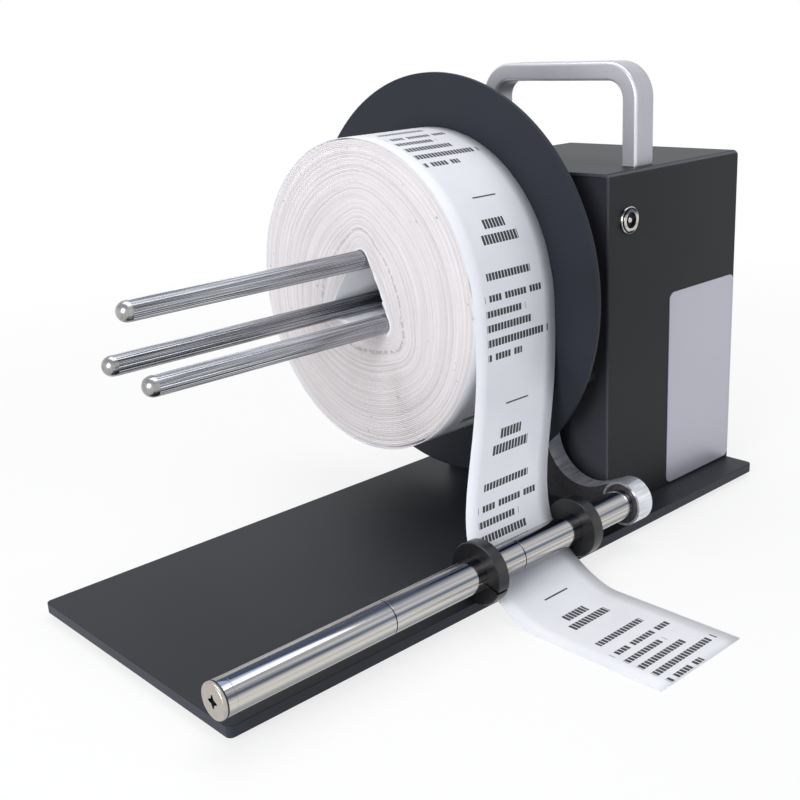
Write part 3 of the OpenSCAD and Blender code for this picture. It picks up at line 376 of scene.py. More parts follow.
# Brighter, glossier metal for the handle's ridges: a painted highlight.
ridge_painted_highlight = machined("handle_ridge_painted_highlight", (0.66, 0.66, 0.68), (0.78, 0.78, 0.80), 0.24, BRUSHED,
                       3 * UM, metal=0.55)
aluminium = machined("plain_aluminium", (0.40, 0.41, 0.43), (0.55, 0.56, 0.58), 0.34, TURNED, 5 * UM)
bronze = machined("bronze", (0.46, 0.31, 0.13), (0.60, 0.43, 0.21), 0.32, TURNED, 4 * UM)
print("metals ready")

# %% [markdown]
# The arm's two finishes
# The swing arm is cut from plate: its faces are dark and its sawn edges are bright. Two materials
# on separate faces would do, but the solid is one mesh, so the finish reads the surface normal in
# object space. Where the normal lies across the plate, along X, the dark face shows. Round the eye
# a narrow ring was turned bright again, so the distance from the bar's axis has a say too.

# %% Arm finish
BAR = (-59.25, 17.9)
EYE_R = 8.75
EYE_RING_R = 7.8
SAWN_ACROSS = (110, 900, 900)


def sawn_plate(name):
    finish, tree, shader, place = start_finish(name, (0.2, 0.2, 0.2), 1, 0.4)
    normal = parts_of(tree, tree.nodes.new("ShaderNodeTexCoord").outputs["Normal"])
    flat_side = reckon(tree, "GREATER_THAN", reckon(tree, "ABSOLUTE", normal["X"]), 0.8)
    from_bar = length_of(tree, mapped(tree, place, (0, 1, 1), (0, -BAR[0] * MM, -BAR[1] * MM)))
    ring = reckon(tree, "MULTIPLY", reckon(tree, "LESS_THAN", from_bar, EYE_R * MM),
                  reckon(tree, "GREATER_THAN", from_bar, EYE_RING_R * MM))
    face = reckon(tree, "MULTIPLY", flat_side, reckon(tree, "SUBTRACT", 1, ring))
    chatter = grain(tree, place, scale=1, detail=3, stretch=SAWN_ACROSS)
    sawn = tint(tree, chatter, (0.56, 0.575, 0.60), (0.78, 0.80, 0.84), low=0.32, high=0.66)
    coat = tint(tree, grain(tree, place, 900), (0.052, 0.048, 0.054), (0.080, 0.075, 0.083))
    tree.links.new(laid_over(tree, face, sawn, coat), shader.inputs["Base Color"])
    bare = reckon(tree, "SUBTRACT", 0.8, reckon(tree, "MULTIPLY", face, 0.5))
    tree.links.new(bare, shader.inputs["Metallic"])
    tree.links.new(level_between(tree, chatter, 0.2, 0.42), shader.inputs["Roughness"])
    emboss(tree, shader, chatter, strength=0.3, depth=20 * UM)
    return finish


arm_metal = sawn_plate("arm_aluminium")
print("made", arm_metal.name)

# %% [markdown]
# Rubber, plastic, film and board
# These are plain coloured solids with a skin: moulded rubber is matt with faint mottling, plastic
# has a fine spark-eroded grain, and the board is lacquer over a glass weave. One recipe with
# different numbers covers them. The rating plate is a smooth silver film, half metal and half
# lacquer, with a sparkle finer than any skin, so it has a recipe of its own.

# %% Moulded and coated finishes
def moulded(name, dark, light, rough, scale, depth, shine=0.5):
    finish, tree, shader, place = start_finish(name, dark, 0, rough)
    shader.inputs["Specular IOR Level"].default_value = shine
    skin = grain(tree, place, scale)
    tree.links.new(tint(tree, skin, dark, light, low=0.3, high=0.7), shader.inputs["Base Color"])
    tree.links.new(level_between(tree, skin, rough - 0.08, rough + 0.08), shader.inputs["Roughness"])
    emboss(tree, shader, skin, strength=0.3, depth=depth)
    return finish


mat_rubber = moulded("mat_rubber", (0.012, 0.012, 0.013), (0.022, 0.022, 0.023), 0.8, 900, 80 * UM)
collar_rubber = moulded("collar_rubber", (0.006, 0.006, 0.007), (0.010, 0.010, 0.011), 0.32, 700, 30 * UM)
black_plastic = moulded("black_plastic", (0.012, 0.013, 0.014), (0.020, 0.021, 0.023), 0.45, 1800, 30 * UM)
pale_plastic = moulded("pale_plastic", (0.66, 0.65, 0.62), (0.74, 0.73, 0.70), 0.5, 1200, 30 * UM)
ferrite = moulded("ferrite", (0.05, 0.048, 0.047), (0.09, 0.085, 0.083), 0.7, 900, 60 * UM)
board_green = moulded("board_green", (0.012, 0.075, 0.035), (0.020, 0.105, 0.048), 0.3, 1400, 20 * UM)
print("moulded finishes ready")

# %% Silver film
def silver_film(name):
    finish, tree, shader, place = start_finish(name, (0.4, 0.4, 0.45), 0.55, 0.42)
    cloud = grain(tree, place, scale=14, detail=1)
    spark = grain(tree, place, scale=5000, detail=1)
    tree.links.new(tint(tree, cloud, (0.47, 0.47, 0.53), (0.50, 0.50, 0.56)), shader.inputs["Base Color"])
    tree.links.new(level_between(tree, spark, 0.36, 0.50), shader.inputs["Roughness"])
    return finish


film = silver_film("silver_film")
print("made", film.name)

# %% [markdown]
# The ribbon and its print
# The ribbon is white coated cloth with a repeated dark print. The print here is generic: a rule, a
# short heading of blocks and some lines of dashes, drawn by the shader from the ribbon's own UV
# map, where U runs across the ribbon and each whole step of V is one repeat. Three stepped ramps
# along V hold the rows and their left and right ends, and white noise cuts rows into dashes.

# %% Rows of print
ROWS = [
    (0.050, 0.058, 0.38, 0.66, 0.0), (0.170, 0.215, 0.34, 0.60, 0.1), (0.245, 0.290, 0.26, 0.70, 0.2),
    (0.420, 0.456, 0.20, 0.74, 0.3), (0.520, 0.552, 0.14, 0.84, 0.4), (0.590, 0.622, 0.14, 0.62, 0.5),
    (0.660, 0.692, 0.14, 0.72, 0.6), (0.730, 0.762, 0.14, 0.90, 0.7), (0.800, 0.832, 0.14, 0.56, 0.8),
]
LEFT_END, RIGHT_END, ROW_MARK = 2, 3, 4
DASHES_ACROSS = 26
DASHES_KEPT = 0.2
DASH_SHARE = 0.78
INK = (0.03, 0.03, 0.035)


def stepped(tree, factor, column):
    ramp = tree.nodes.new("ShaderNodeValToRGB")
    ramp.color_ramp.interpolation = "CONSTANT"
    stops = ramp.color_ramp.elements
    stops[0].position, stops[0].color = 0, (0, 0, 0, 1)
    stops.remove(stops[1])
    for row in ROWS:
        opened = stops.new(row[0])
        opened.color = (row[column],) * 3 + (1,)
        closed = stops.new(row[1])
        closed.color = (0, 0, 0, 1)
    tree.links.new(factor, ramp.inputs["Fac"])
    return ramp.outputs["Color"]


def inked(tree):
    chart = parts_of(tree, tree.nodes.new("ShaderNodeUVMap").outputs["UV"])
    across, along = chart["X"], reckon(tree, "FRACT", chart["Y"])
    left, far, row = (stepped(tree, along, column) for column in (LEFT_END, RIGHT_END, ROW_MARK))
    inside = reckon(tree, "MULTIPLY", reckon(tree, "GREATER_THAN", across, left),
                    reckon(tree, "LESS_THAN", across, far))
    cell = reckon(tree, "MULTIPLY", across, DASHES_ACROSS)
    cast = tree.nodes.new("ShaderNodeTexWhiteNoise")
    cast.noise_dimensions = "2D"
    spot = tree.nodes.new("ShaderNodeCombineXYZ")
    tree.links.new(reckon(tree, "FLOOR", cell), spot.inputs["X"])
    tree.links.new(row, spot.inputs["Y"])
    tree.links.new(spot.outputs[0], cast.inputs["Vector"])
    kept = reckon(tree, "GREATER_THAN", cast.outputs["Value"], DASHES_KEPT)
    filled = reckon(tree, "LESS_THAN", reckon(tree, "FRACT", cell), DASH_SHARE)
    dash = reckon(tree, "MULTIPLY", kept, filled)
    rule = reckon(tree, "LESS_THAN", row, 0.01)
    return reckon(tree, "MULTIPLY", inside, reckon(tree, "MAXIMUM", dash, rule))


print("ribbon rows:", len(ROWS))

# %% Ribbon cloth
def ribbon_cloth(name, printed, white=0.83):
    finish, tree, shader, place = start_finish(name, (white, white, white), 0, 0.55)
    shaded = (white - 0.05, white - 0.05, white - 0.02)
    cloth = tint(tree, grain(tree, place, scale=40, detail=2), shaded, (white, white, white + 0.02))
    emboss(tree, shader, grain(tree, place, scale=2600, detail=2), strength=0.15, depth=30 * UM)
    shader.inputs["Sheen Weight"].default_value = 0.08
    if printed:
        cloth = laid_over(tree, inked(tree), cloth, INK)
    tree.links.new(cloth, shader.inputs["Base Color"])
    return finish


printed_ribbon = ribbon_cloth("label_ribbon_printed", True)
plain_ribbon = ribbon_cloth("label_ribbon_plain", False)
# The inside ribbon is whiter than the rest: painted light for the inner turns in the core.
inner_turns_painted_light = ribbon_cloth("label_ribbon_inside_painted_light", False, white=0.93)
print("cloth:", [cloth.name for cloth in (printed_ribbon, plain_ribbon, inner_turns_painted_light)])

# %% [markdown]
# Wound edges
# From the end, the roll shows the edges of all its turns: rings of pale pink and grey, with a few
# dark flecks where a printed mark reaches the edge, and one dark dotted line part of the way out.
# The rings follow the turns, which are triangles near the rods and round outside, so each point of
# the roll carries a number, wound, that grows from 0 at the core to 1, and it drives the rings.

# %% Wound edge finish
DOTTED_LINE_AT = 0.2
LINE_HALF = 0.012
FLECK_SHADE = 0.5
DOT_SHADE = 0.36


def wound_edges(name):
    finish, tree, shader, place = start_finish(name, (0.75, 0.7, 0.72), 0, 0.75)
    wound = tree.nodes.new("ShaderNodeAttribute")
    wound.attribute_name = "wound"
    turns = wound.outputs["Fac"]
    ring = tree.nodes.new("ShaderNodeTexNoise")
    ring.noise_dimensions = "1D"
    ring.inputs["Scale"].default_value = 46
    ring.inputs["Detail"].default_value = 4
    ring.inputs["Roughness"].default_value = 0.7
    tree.links.new(turns, ring.inputs["W"])
    height = ring.outputs["Fac"]
    rings = tint(tree, height, (0.705, 0.648, 0.643), (0.875, 0.833, 0.828), low=0.28, high=0.62)
    fleck = reckon(tree, "MULTIPLY", reckon(tree, "GREATER_THAN", grain(tree, place, 420, 4), 0.69),
                   reckon(tree, "GREATER_THAN", height, 0.55))
    from_line = reckon(tree, "ABSOLUTE", reckon(tree, "SUBTRACT", turns, DOTTED_LINE_AT))
    dotted = reckon(tree, "MULTIPLY", reckon(tree, "LESS_THAN", from_line, LINE_HALF),
                    reckon(tree, "GREATER_THAN", grain(tree, place, 700, 1), 0.46))
    dark = reckon(tree, "MAXIMUM", reckon(tree, "MULTIPLY", fleck, FLECK_SHADE),
                  reckon(tree, "MULTIPLY", dotted, DOT_SHADE))
    tree.links.new(laid_over(tree, dark, rings, (0.16, 0.13, 0.13)), shader.inputs["Base Color"])
    emboss(tree, shader, height, strength=0.3, depth=100 * UM)
    return finish


roll_edge = wound_edges("label_ribbon_edges")
print("made", roll_edge.name)

# %% [markdown]
# Finishes for the solids
# Each solid that stays in view keeps its CAD mesh and takes a finish here, also those inside the
# housing, because the model may be opened. The record's material slots group them already, so one
# table from slot to finish dresses them all. Only the two end panels get a paint of their own,
# glossier and painted lighter, a painted light on them.

# %% Dress the solids
slot_finish = {
    "charcoal_paint": paint, "mat_rubber": mat_rubber, "collar_rubber": collar_rubber,
    "zinc_steel": zinc_steel, "dark_steel": dark_steel, "ground_steel": ground_steel,
    "rod_steel": rod_steel, "handle_aluminium": anodised, "plain_aluminium": aluminium,
    "arm_aluminium": arm_metal, "bright_chrome": chrome, "warm_nickel": nickel,
    "silver_film": film, "label_ribbon": plain_ribbon, "ferrite": ferrite, "bronze": bronze,
    "pale_plastic": pale_plastic, "black_plastic": black_plastic, "board_green": board_green,
}
slot_of = {part["node"]: part["material_slot"] for part in frame["record"]["subparts"]}
members = frame["record"]["behaviour"]["bodies"]
body_of = {node: body for body in members for node in members[body]}
for node, solid in nodes.items():
    solid.data.materials.clear()
    solid.data.materials.append(slot_finish[slot_of[node]])
# The end panels take the lighter paint: painted light on them.
for node in ("motor_panel", "rear_panel"):
    nodes[node].data.materials[0] = panel_painted_light
print("dressed", len(nodes), "solids")

# %% [markdown]
# From a bmesh to a finished piece
# A piece that replaces a solid goes through the same last steps each time: its faces are turned
# outwards, it is shaded smooth with the sharp edges kept, and it is told which body it rides on and
# which solid it stands for. A helper does that, so the cells below hold only the shapes.

# %% Helper for finished pieces
MERGE = 1e-7


def add_piece(name, bm, finishes, sharp=35, turn_out=True):
    if turn_out:
        bmesh.ops.remove_doubles(bm, verts=bm.verts, dist=MERGE)
        bmesh.ops.recalc_face_normals(bm, faces=bm.faces)
    mesh = bpy.data.meshes.new(name)
    bm.to_mesh(mesh)
    bm.free()
    for finish in finishes:
        mesh.materials.append(finish)
    mesh.shade_smooth()
    mesh.set_sharp_from_angle(angle=math.radians(sharp))
    piece = bpy.data.objects.new(name, mesh)
    bpy.context.scene.collection.objects.link(piece)
    if turn_out:
        piece.modifiers.new("even_shading", "WEIGHTED_NORMAL").keep_sharp = True
    return piece


def stand_for(piece, node):
    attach(piece, body_of[node])
    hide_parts(node)
    print(piece.name, "has", len(piece.data.polygons), "faces")


# %% [markdown]
# Base plate
# The plate is cut from sheet with small round corners, and its edges are broken before painting,
# which draws a fine light line round it. A cube scaled to size is enough: one bevel rounds the four
# upright edges, and a second, much smaller one breaks the rims. Its sides take a lighter, bluer
# paint, a painted light for the light they catch.

# %% Base plate
PLATE_CORNER_R = 2
PLATE_RIM_R = 0.3


def edges_along(bm, axis, least):
    return [e for e in bm.edges if abs(e.verts[0].co[axis] - e.verts[1].co[axis]) > least]


def rim_edges(bm, degrees=50):
    steep = math.radians(degrees)
    return [e for e in bm.edges if len(e.link_faces) == 2 and e.calc_face_angle(0) > steep]


def round_off(bm, edges, radius, segments):
    bmesh.ops.bevel(bm, geom=edges, offset=radius * MM, offset_type="OFFSET", affect="EDGES",
                    segments=segments, profile=0.5, material=-1, clamp_overlap=True)


def block_from(low, high):
    bm = bmesh.new()
    bmesh.ops.create_cube(bm, size=1)
    bmesh.ops.scale(bm, verts=bm.verts, vec=high - low)
    bmesh.ops.translate(bm, verts=bm.verts, vec=(low + high) / 2)
    return bm


bm = block_from(*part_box("base_plate"))
round_off(bm, edges_along(bm, 2, 3 * MM), PLATE_CORNER_R, segments=6)
round_off(bm, rim_edges(bm), PLATE_RIM_R, segments=3)
# Upright faces take the lighter, bluer paint: painted light on the plate's sides.
for face in bm.faces:
    face.material_index = int(abs(face.normal.z) < 0.7)
stand_for(add_piece("base_plate_body", bm, [paint, plate_side_painted_light]), "base_plate")

# %% [markdown]
# Housing cover
# The cover is one folded sheet: a front wall, a top and a back wall, open at both ends where the
# inset panels sit. Starting from a box, the ends and the floor come off, the two top edges are
# rounded like a press-brake fold, and the skin gets its thickness inwards. The middle of each fold
# and the cut ends of the sheet take a lighter, glossier paint, a painted highlight along them.

# %% Housing cover
FOLD_R = 2.2
SHEET_T = 1.2
SHEET_RIM_R = 0.2


def takes_painted_highlight(face):
    on_fold = face.normal.z > 0.5 and abs(abs(face.normal.y) - face.normal.z) < 0.3
    return on_fold or abs(face.normal.x) > 0.6


bm = block_from(*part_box("housing_cover"))
ends = [f for f in bm.faces if abs(f.normal.x) > 0.5 or f.normal.z < -0.5]
bmesh.ops.delete(bm, geom=ends, context="FACES")
folds = [e for e in bm.edges if len(e.link_faces) == 2]
round_off(bm, folds, FOLD_R, segments=9)
bmesh.ops.solidify(bm, geom=bm.faces, thickness=SHEET_T * MM)
round_off(bm, rim_edges(bm), SHEET_RIM_R, segments=2)
bmesh.ops.recalc_face_normals(bm, faces=bm.faces)
# Fold middles and cut ends take the second paint, a painted highlight.
for face in bm.faces:
    face.material_index = int(takes_painted_highlight(face))
print("worn faces:", sum(face.material_index for face in bm.faces))
stand_for(add_piece("housing_cover_sheet", bm, [cover_paint, cover_edge_painted_highlight]), "housing_cover")

# %% [markdown]
# Turned parts
# The disc, the guide sleeves and the power inlet come off a lathe. In Blender a lathe is a spin: a
# half profile of a few vertices goes once round the axis. Profiles are written as pairs of a place
# along the axis and a radius, in millimetres, and a closed profile makes a ring with a bore. The
# two outer edges of a turned part are eased by a few pairs of a step inwards from each edge.

# %% Lathe helper
SPINDLE = (31.5, 95.0)


def lathe(bm, profile, axis_y, axis_z, steps=96, closed=True, finish=0):
    fresh = [bm.verts.new(Vector((x, axis_y, axis_z + r)) * MM) for x, r in profile]
    pairs = list(zip(fresh, fresh[1:]))
    if closed:
        pairs.append((fresh[-1], fresh[0]))
    edges = [bm.edges.new(pair) for pair in pairs]
    before = set(bm.faces)
    bmesh.ops.spin(bm, geom=fresh + edges, cent=Vector((0, axis_y, axis_z)) * MM, axis=(1, 0, 0),
                   angle=2 * math.pi, steps=steps, use_merge=True)
    for face in set(bm.faces) - before:
        face.material_index = finish


def eased(start, end, bore, rim, ease):
    near = [(start + along, rim - inward) for along, inward in ease]
    far = [(end - along, rim - inward) for along, inward in reversed(ease)]
    return [(start, bore)] + near + far + [(end, bore)]


def ends_along_x(node):
    low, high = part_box(node)
    return low.x / MM, high.x / MM


# %% Flange disc
DISC_X = (39, 41)
DISC_R = 82.5
DISC_EASE = [(0, 0.5), (0.15, 0.15), (0.5, 0)]
bm = bmesh.new()
lathe(bm, eased(*DISC_X, 0, DISC_R, DISC_EASE), *SPINDLE, steps=160, closed=False)
stand_for(add_piece("flange_disc_plate", bm, [disc_paint]), "flange_disc")

# %% Guide sleeves
SLEEVE_R = 5.9
SLEEVE_BORE_R = 3.04
SLEEVE_EASE = [(0, 0.18), (0.05, 0.05), (0.18, 0)]
for number in (1, 2, 3):
    node = f"guide_sleeve_{number}"
    bm = bmesh.new()
    lathe(bm, eased(*ends_along_x(node), SLEEVE_BORE_R, SLEEVE_R, SLEEVE_EASE), *BAR)
    stand_for(add_piece(f"{node}_tube", bm, [chrome]), node)

# %% [markdown]
# Split collars
# Two rubber rings keep the ribbon on its track. Each is split, so that it can be sprung over the
# bar. A spin that stops short of a full turn leaves the split, and its two open ends are filled.

# %% Split collars
COLLAR_R = 11.2
COLLAR_BORE_R = 5.94
COLLAR_MID_R = 8.5
COLLAR_EASE = [(0, 0.45), (0.12, 0.15), (0.42, 0)]
SPLIT = 0.8


def close_ends(bm, *outlines):
    for outline in outlines:
        bmesh.ops.edgeloop_fill(bm, edges=outline)


def split_collar(number, split_degrees):
    node = f"guide_collar_{number}"
    profile = eased(*ends_along_x(node), COLLAR_BORE_R, COLLAR_R, COLLAR_EASE)
    gap = math.degrees(SPLIT / COLLAR_MID_R)
    bm = bmesh.new()
    fresh = [bm.verts.new(Vector((x, BAR[0] + r, BAR[1])) * MM) for x, r in profile]
    first = [bm.edges.new(pair) for pair in zip(fresh, fresh[1:] + fresh[:1])]
    middle = Vector((0, *BAR)) * MM
    bmesh.ops.rotate(bm, verts=fresh, cent=middle,
                     matrix=Matrix.Rotation(math.radians(split_degrees + gap / 2), 3, "X"))
    swept = bmesh.ops.spin(bm, geom=fresh + first, cent=middle, axis=(1, 0, 0),
                           angle=math.radians(360 - gap), steps=90)
    last = [e for e in swept["geom_last"] if isinstance(e, bmesh.types.BMEdge)]
    close_ends(bm, first, last)
    stand_for(add_piece(f"{node}_ring", bm, [collar_rubber]), node)


split_collar(1, split_degrees=200)
split_collar(2, split_degrees=265)

# %% [markdown]
# Winding rods
# The rods are drawn with fine ribs along their length, which grip the first turn, and end in a
# smooth round nose. The ribs are a circle whose vertices step in and out, drawn out along X; the
# nose is a lathe shape with its own, smoother finish.

# %% Winding rods
RIBS = 26
ROD_R = 3.75
GROOVE = 0.93
NECK_X = -105.6
TIP_X = -110.0


def draw_out(bm, edges, vec):
    grown = bmesh.ops.extrude_edge_only(bm, edges=edges)["geom"]
    bmesh.ops.translate(bm, verts=[g for g in grown if isinstance(g, bmesh.types.BMVert)], vec=vec)
    return [g for g in grown if isinstance(g, bmesh.types.BMEdge)]


def round_nose():
    profile = [(NECK_X + 0.01, 0), (NECK_X, ROD_R), (TIP_X + ROD_R, ROD_R)]
    for degrees in range(10, 100, 10):
        turn = math.radians(degrees)
        profile.append((TIP_X + ROD_R * (1 - math.sin(turn)), ROD_R * math.cos(turn)))
    return profile


def winding_rod(number):
    node = f"rod_{number}"
    low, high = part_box(node)
    centre = (low + high) / 2
    bm = bmesh.new()
    ring = bmesh.ops.create_circle(bm, segments=4 * RIBS, radius=ROD_R * MM)["verts"]
    grooves = [v for i, v in enumerate(ring) if i % 4 > 1]
    bmesh.ops.scale(bm, verts=grooves, vec=(GROOVE, GROOVE, 1))
    bmesh.ops.rotate(bm, verts=ring, cent=(0, 0, 0), matrix=Matrix.Rotation(math.pi / 2, 3, "Y"))
    bmesh.ops.translate(bm, verts=ring, vec=(high.x, centre.y, centre.z))
    root = list(bm.edges)
    neck = draw_out(bm, root, (NECK_X * MM - high.x, 0, 0))
    close_ends(bm, root, neck)
    lathe(bm, round_nose(), centre.y / MM, centre.z / MM, steps=64, closed=False, finish=1)
    stand_for(add_piece(f"{node}_ribbed", bm, [rod_steel, nose_steel]), node)


for number in (1, 2, 3):
    winding_rod(number)

# %% [markdown]
# Softened copies of the solids
# Some solids have the right shape but edges as sharp as a knife. A copy of the CAD mesh is merged,
# its flat triangles are dissolved into whole faces, and its sharp edges are bevelled.

# %% Softened copies
def merged_copy(node):
    bm = bmesh.new()
    bm.from_mesh(nodes[node].data)
    bmesh.ops.remove_doubles(bm, verts=bm.verts, dist=1e-6)
    bmesh.ops.dissolve_limit(bm, angle_limit=math.radians(0.5), verts=bm.verts, edges=bm.edges)
    return bm


def softened(node, radius, finish):
    bm = merged_copy(node)
    round_off(bm, rim_edges(bm, degrees=40), radius, segments=3)
    stand_for(add_piece(f"{node}_eased", bm, [finish]), node)


softened("swing_arm", 0.4, arm_metal)
softened("speed_knob", 0.4, black_plastic)
softened("switch_rocker", 0.3, black_plastic)

# %% [markdown]
# End cap
# A screwed cap closes the guide bar. Its face and rim are warm nickel, and a fine groove parts them
# from a bright band behind, which runs up to the first sleeve. The copy of the solid is cut by three
# close planes, and the middle cut is drawn in towards the axis, which leaves the groove. The groove
# is painted dark steel, a painted shade in it. The cross for the driver is pinched to a star, as a
# pressed one is, and its walls are painted darker nickel, a painted shade in the recess.

# %% Groove of the end cap
GROOVE_AT = 1.5
GROOVE_HALF = 0.26
GROOVE_DRAWN = 0.93
CAP_RIM_R = 0.5
RIM_FROM = 5
cap_face, cap_back = (corner.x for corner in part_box("end_cap"))
about_bar = Matrix.Translation(-Vector((0, *BAR)) * MM)


def off_axis(point):
    return math.hypot(point.y / MM - BAR[0], point.z / MM - BAR[1])


def on_rim(vert, x):
    return abs(vert.co.x - x) < 1e-5 and off_axis(vert.co) > RIM_FROM


bm = merged_copy("end_cap")
front_rim = [e for e in rim_edges(bm) if all(on_rim(v, cap_face) for v in e.verts)]
round_off(bm, front_rim, CAP_RIM_R, segments=4)
for reach in (GROOVE_AT - GROOVE_HALF, GROOVE_AT, GROOVE_AT + GROOVE_HALF):
    bmesh.ops.bisect_plane(bm, geom=bm.verts[:] + bm.edges[:] + bm.faces[:], dist=MERGE,
                           plane_co=(cap_face + reach * MM, 0, 0), plane_no=(1, 0, 0))
groove = [v for v in bm.verts if on_rim(v, cap_face + GROOVE_AT * MM)]
bmesh.ops.scale(bm, verts=groove, vec=(1, GROOVE_DRAWN, GROOVE_DRAWN), space=about_bar)
print("groove vertices:", len(groove))

# %% Cross and finishes of the end cap
CROSS_R = 2.9
RECESS_R = 3
INNER_SPREAD = 1.5
PINCH_ALONG, PINCH_ACROSS = 0.9, 0.45
SLEEVE_GAP = 0.02


def pinch_at(point):
    y, z = abs(point.y / MM - BAR[0]), abs(point.z / MM - BAR[1])
    if abs(y - z) < 0.1:
        return (1, INNER_SPREAD, INNER_SPREAD)
    if y > z:
        return (1, PINCH_ALONG, PINCH_ACROSS)
    return (1, PINCH_ACROSS, PINCH_ALONG)


# Finish 2, dark steel, is painted shade in the groove; finish 3, darker nickel, is painted shade in the
# cross.
def cap_finish(face):
    middle = face.calc_center_median()
    behind = (middle.x - cap_face) / MM
    if abs(behind - GROOVE_AT) < 0.8 * GROOVE_HALF:
        return 2
    if off_axis(middle) < RECESS_R and behind > 0.01:
        return 3
    return int(behind > GROOVE_AT)


cross = [v for v in bm.verts if off_axis(v.co) < CROSS_R]
for vert in cross:
    bmesh.ops.scale(bm, verts=[vert], vec=pinch_at(vert.co), space=about_bar)
back_rim = [v for v in bm.verts if abs(v.co.x - cap_back) < 1e-6]
to_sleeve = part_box("guide_sleeve_1")[0].x - cap_back - SLEEVE_GAP * MM
bmesh.ops.translate(bm, verts=back_rim, vec=(to_sleeve, 0, 0))
for face in bm.faces:
    face.material_index = cap_finish(face)
print("cross vertices:", len(cross))
stand_for(add_piece("end_cap_face", bm, [nickel, chrome, dark_steel, recess_nickel_painted_shade]), "end_cap")

# %% [markdown]
# Carry handle
# The handle is a bent bar with broad, rounded corners to its section. Its section starts as a
# quad with bevelled corners. The outline is extruded up the first leg, spun through the first
# bend, extruded across, spun again and drawn down the second leg. Its ridges take a brighter,
# glossier metal, a painted highlight along them.

# %% Carry handle
BAR_T = 7 * MM
BEND_R = 14 * MM
SECTION_R = 1.3 * MM


def bend(bm, edges, centre, degrees):
    verts = list({v for e in edges for v in e.verts})
    swept = bmesh.ops.spin(bm, geom=verts + edges, cent=centre, axis=(1, 0, 0),
                           angle=math.radians(degrees), steps=14)["geom_last"]
    return [g for g in swept if isinstance(g, bmesh.types.BMEdge)]


low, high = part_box("carry_handle")
bm = bmesh.new()
bmesh.ops.create_grid(bm, x_segments=1, y_segments=1, size=0.5)
bmesh.ops.scale(bm, verts=bm.verts, vec=(high.x - low.x, BAR_T, 1))
bmesh.ops.bevel(bm, geom=list(bm.verts), offset=SECTION_R, offset_type="OFFSET", affect="VERTICES",
                segments=4, profile=0.5, material=-1)
bmesh.ops.translate(bm, verts=bm.verts, vec=((low.x + high.x) / 2, low.y + BAR_T / 2, low.z))
bmesh.ops.delete(bm, geom=list(bm.faces), context="FACES_ONLY")
foot = list(bm.edges)
rise = high.z - low.z - BEND_R
outline = draw_out(bm, foot, (0, 0, rise))
outline = bend(bm, outline, (0, low.y + BEND_R, high.z - BEND_R), -90)
outline = draw_out(bm, outline, (0, high.y - low.y - 2 * BEND_R, 0))
outline = bend(bm, outline, (0, high.y - BEND_R, high.z - BEND_R), -90)
outline = draw_out(bm, outline, (0, 0, -rise))
close_ends(bm, foot, outline)
bm.normal_update()
# Corner faces of the section take the brighter metal, a painted highlight along the ridges.
for face in bm.faces:
    face.material_index = int(0.3 < abs(face.normal.x) < 0.95)
print("ridge faces:", sum(face.material_index for face in bm.faces))
stand_for(add_piece("carry_handle_bar", bm, [anodised, ridge_painted_highlight], sharp=60), "carry_handle")

# %% [markdown]
# Power inlet
# A barrel inlet shows a bright flanged ring, a dark step and a pin in its bore. Its lathe axis is
# Y, so the profiles are spun about X first and the whole shape is then turned to face the front.

# %% Power inlet
low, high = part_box("power_inlet")
deep = (high.y - low.y) / MM
flange = [(0.95, 5.3), (1.6, 5.3), (1.6, 4.6), (0.95, 4.6), (0.7, 4.75), (0.7, 5.15)]
barrel = [(0.35, 4.2), (deep, 4.2), (deep, 2.8), (1.5, 2.8), (0.2, 3.0), (0, 3.2), (0, 3.85)]
dark_step = [(1.4, 4.1), (1.4, 4.7), (1.58, 4.7), (1.58, 4.1)]
pin = [(0.6, 0), (0.6, 0.8), (0.9, 1.05), (deep, 1.05), (deep, 0)]
bore_floor = [(2.4, 0), (2.4, 2.95), (2.9, 2.95), (2.9, 0)]
bm = bmesh.new()
lathe(bm, flange, 0, 0, steps=64)
lathe(bm, barrel, 0, 0, steps=64)
lathe(bm, dark_step, 0, 0, steps=64, finish=1)
lathe(bm, pin, 0, 0, steps=32, closed=False)
lathe(bm, bore_floor, 0, 0, steps=32, closed=False, finish=2)
bmesh.ops.rotate(bm, verts=bm.verts, cent=(0, 0, 0), matrix=Matrix.Rotation(math.pi / 2, 3, "Z"))
bmesh.ops.translate(bm, verts=bm.verts, vec=((low.x + high.x) / 2, low.y, (low.z + high.z) / 2))
stand_for(add_piece("power_inlet_barrel", bm, [chrome, black_plastic, nickel]), "power_inlet")

# %% [markdown]
# Rating plate
# The plate on the front is bare silver film. A thin block with rounded corners stands for it, and a
# fine raised rim, inset and pushed out, gives its edge something to catch the light.

# %% Rating plate
FILM_CORNER_R = 3
FILM_RIM = 0.9 * MM
RIM_SLOPE = 0.15 * MM
RIM_HEIGHT = 0.08 * MM
bm = block_from(*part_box("rating_plate"))
round_off(bm, edges_along(bm, 1, 0.1 * MM), FILM_CORNER_R, segments=6)
front = [f for f in bm.faces if f.normal.y < -0.9]
bmesh.ops.inset_region(bm, faces=front, thickness=FILM_RIM, depth=0)
front = [f for f in front if f.is_valid]
bmesh.ops.inset_region(bm, faces=front, thickness=RIM_SLOPE, depth=-RIM_HEIGHT)
stand_for(add_piece("rating_plate_film", bm, [film]), "rating_plate")

# %% [markdown]
# The wound roll
# The ribbon is wound straight onto the rods, so the first turns are triangles with round corners
# and the outer ones are round. A flat curve follows that spiral, and its extrusion is the width of
# the ribbon. It becomes a mesh, each turn is shifted a little sideways, as real turns are, and a
# Solidify modifier gives the ribbon its thickness. The printed outer turn is made after it.

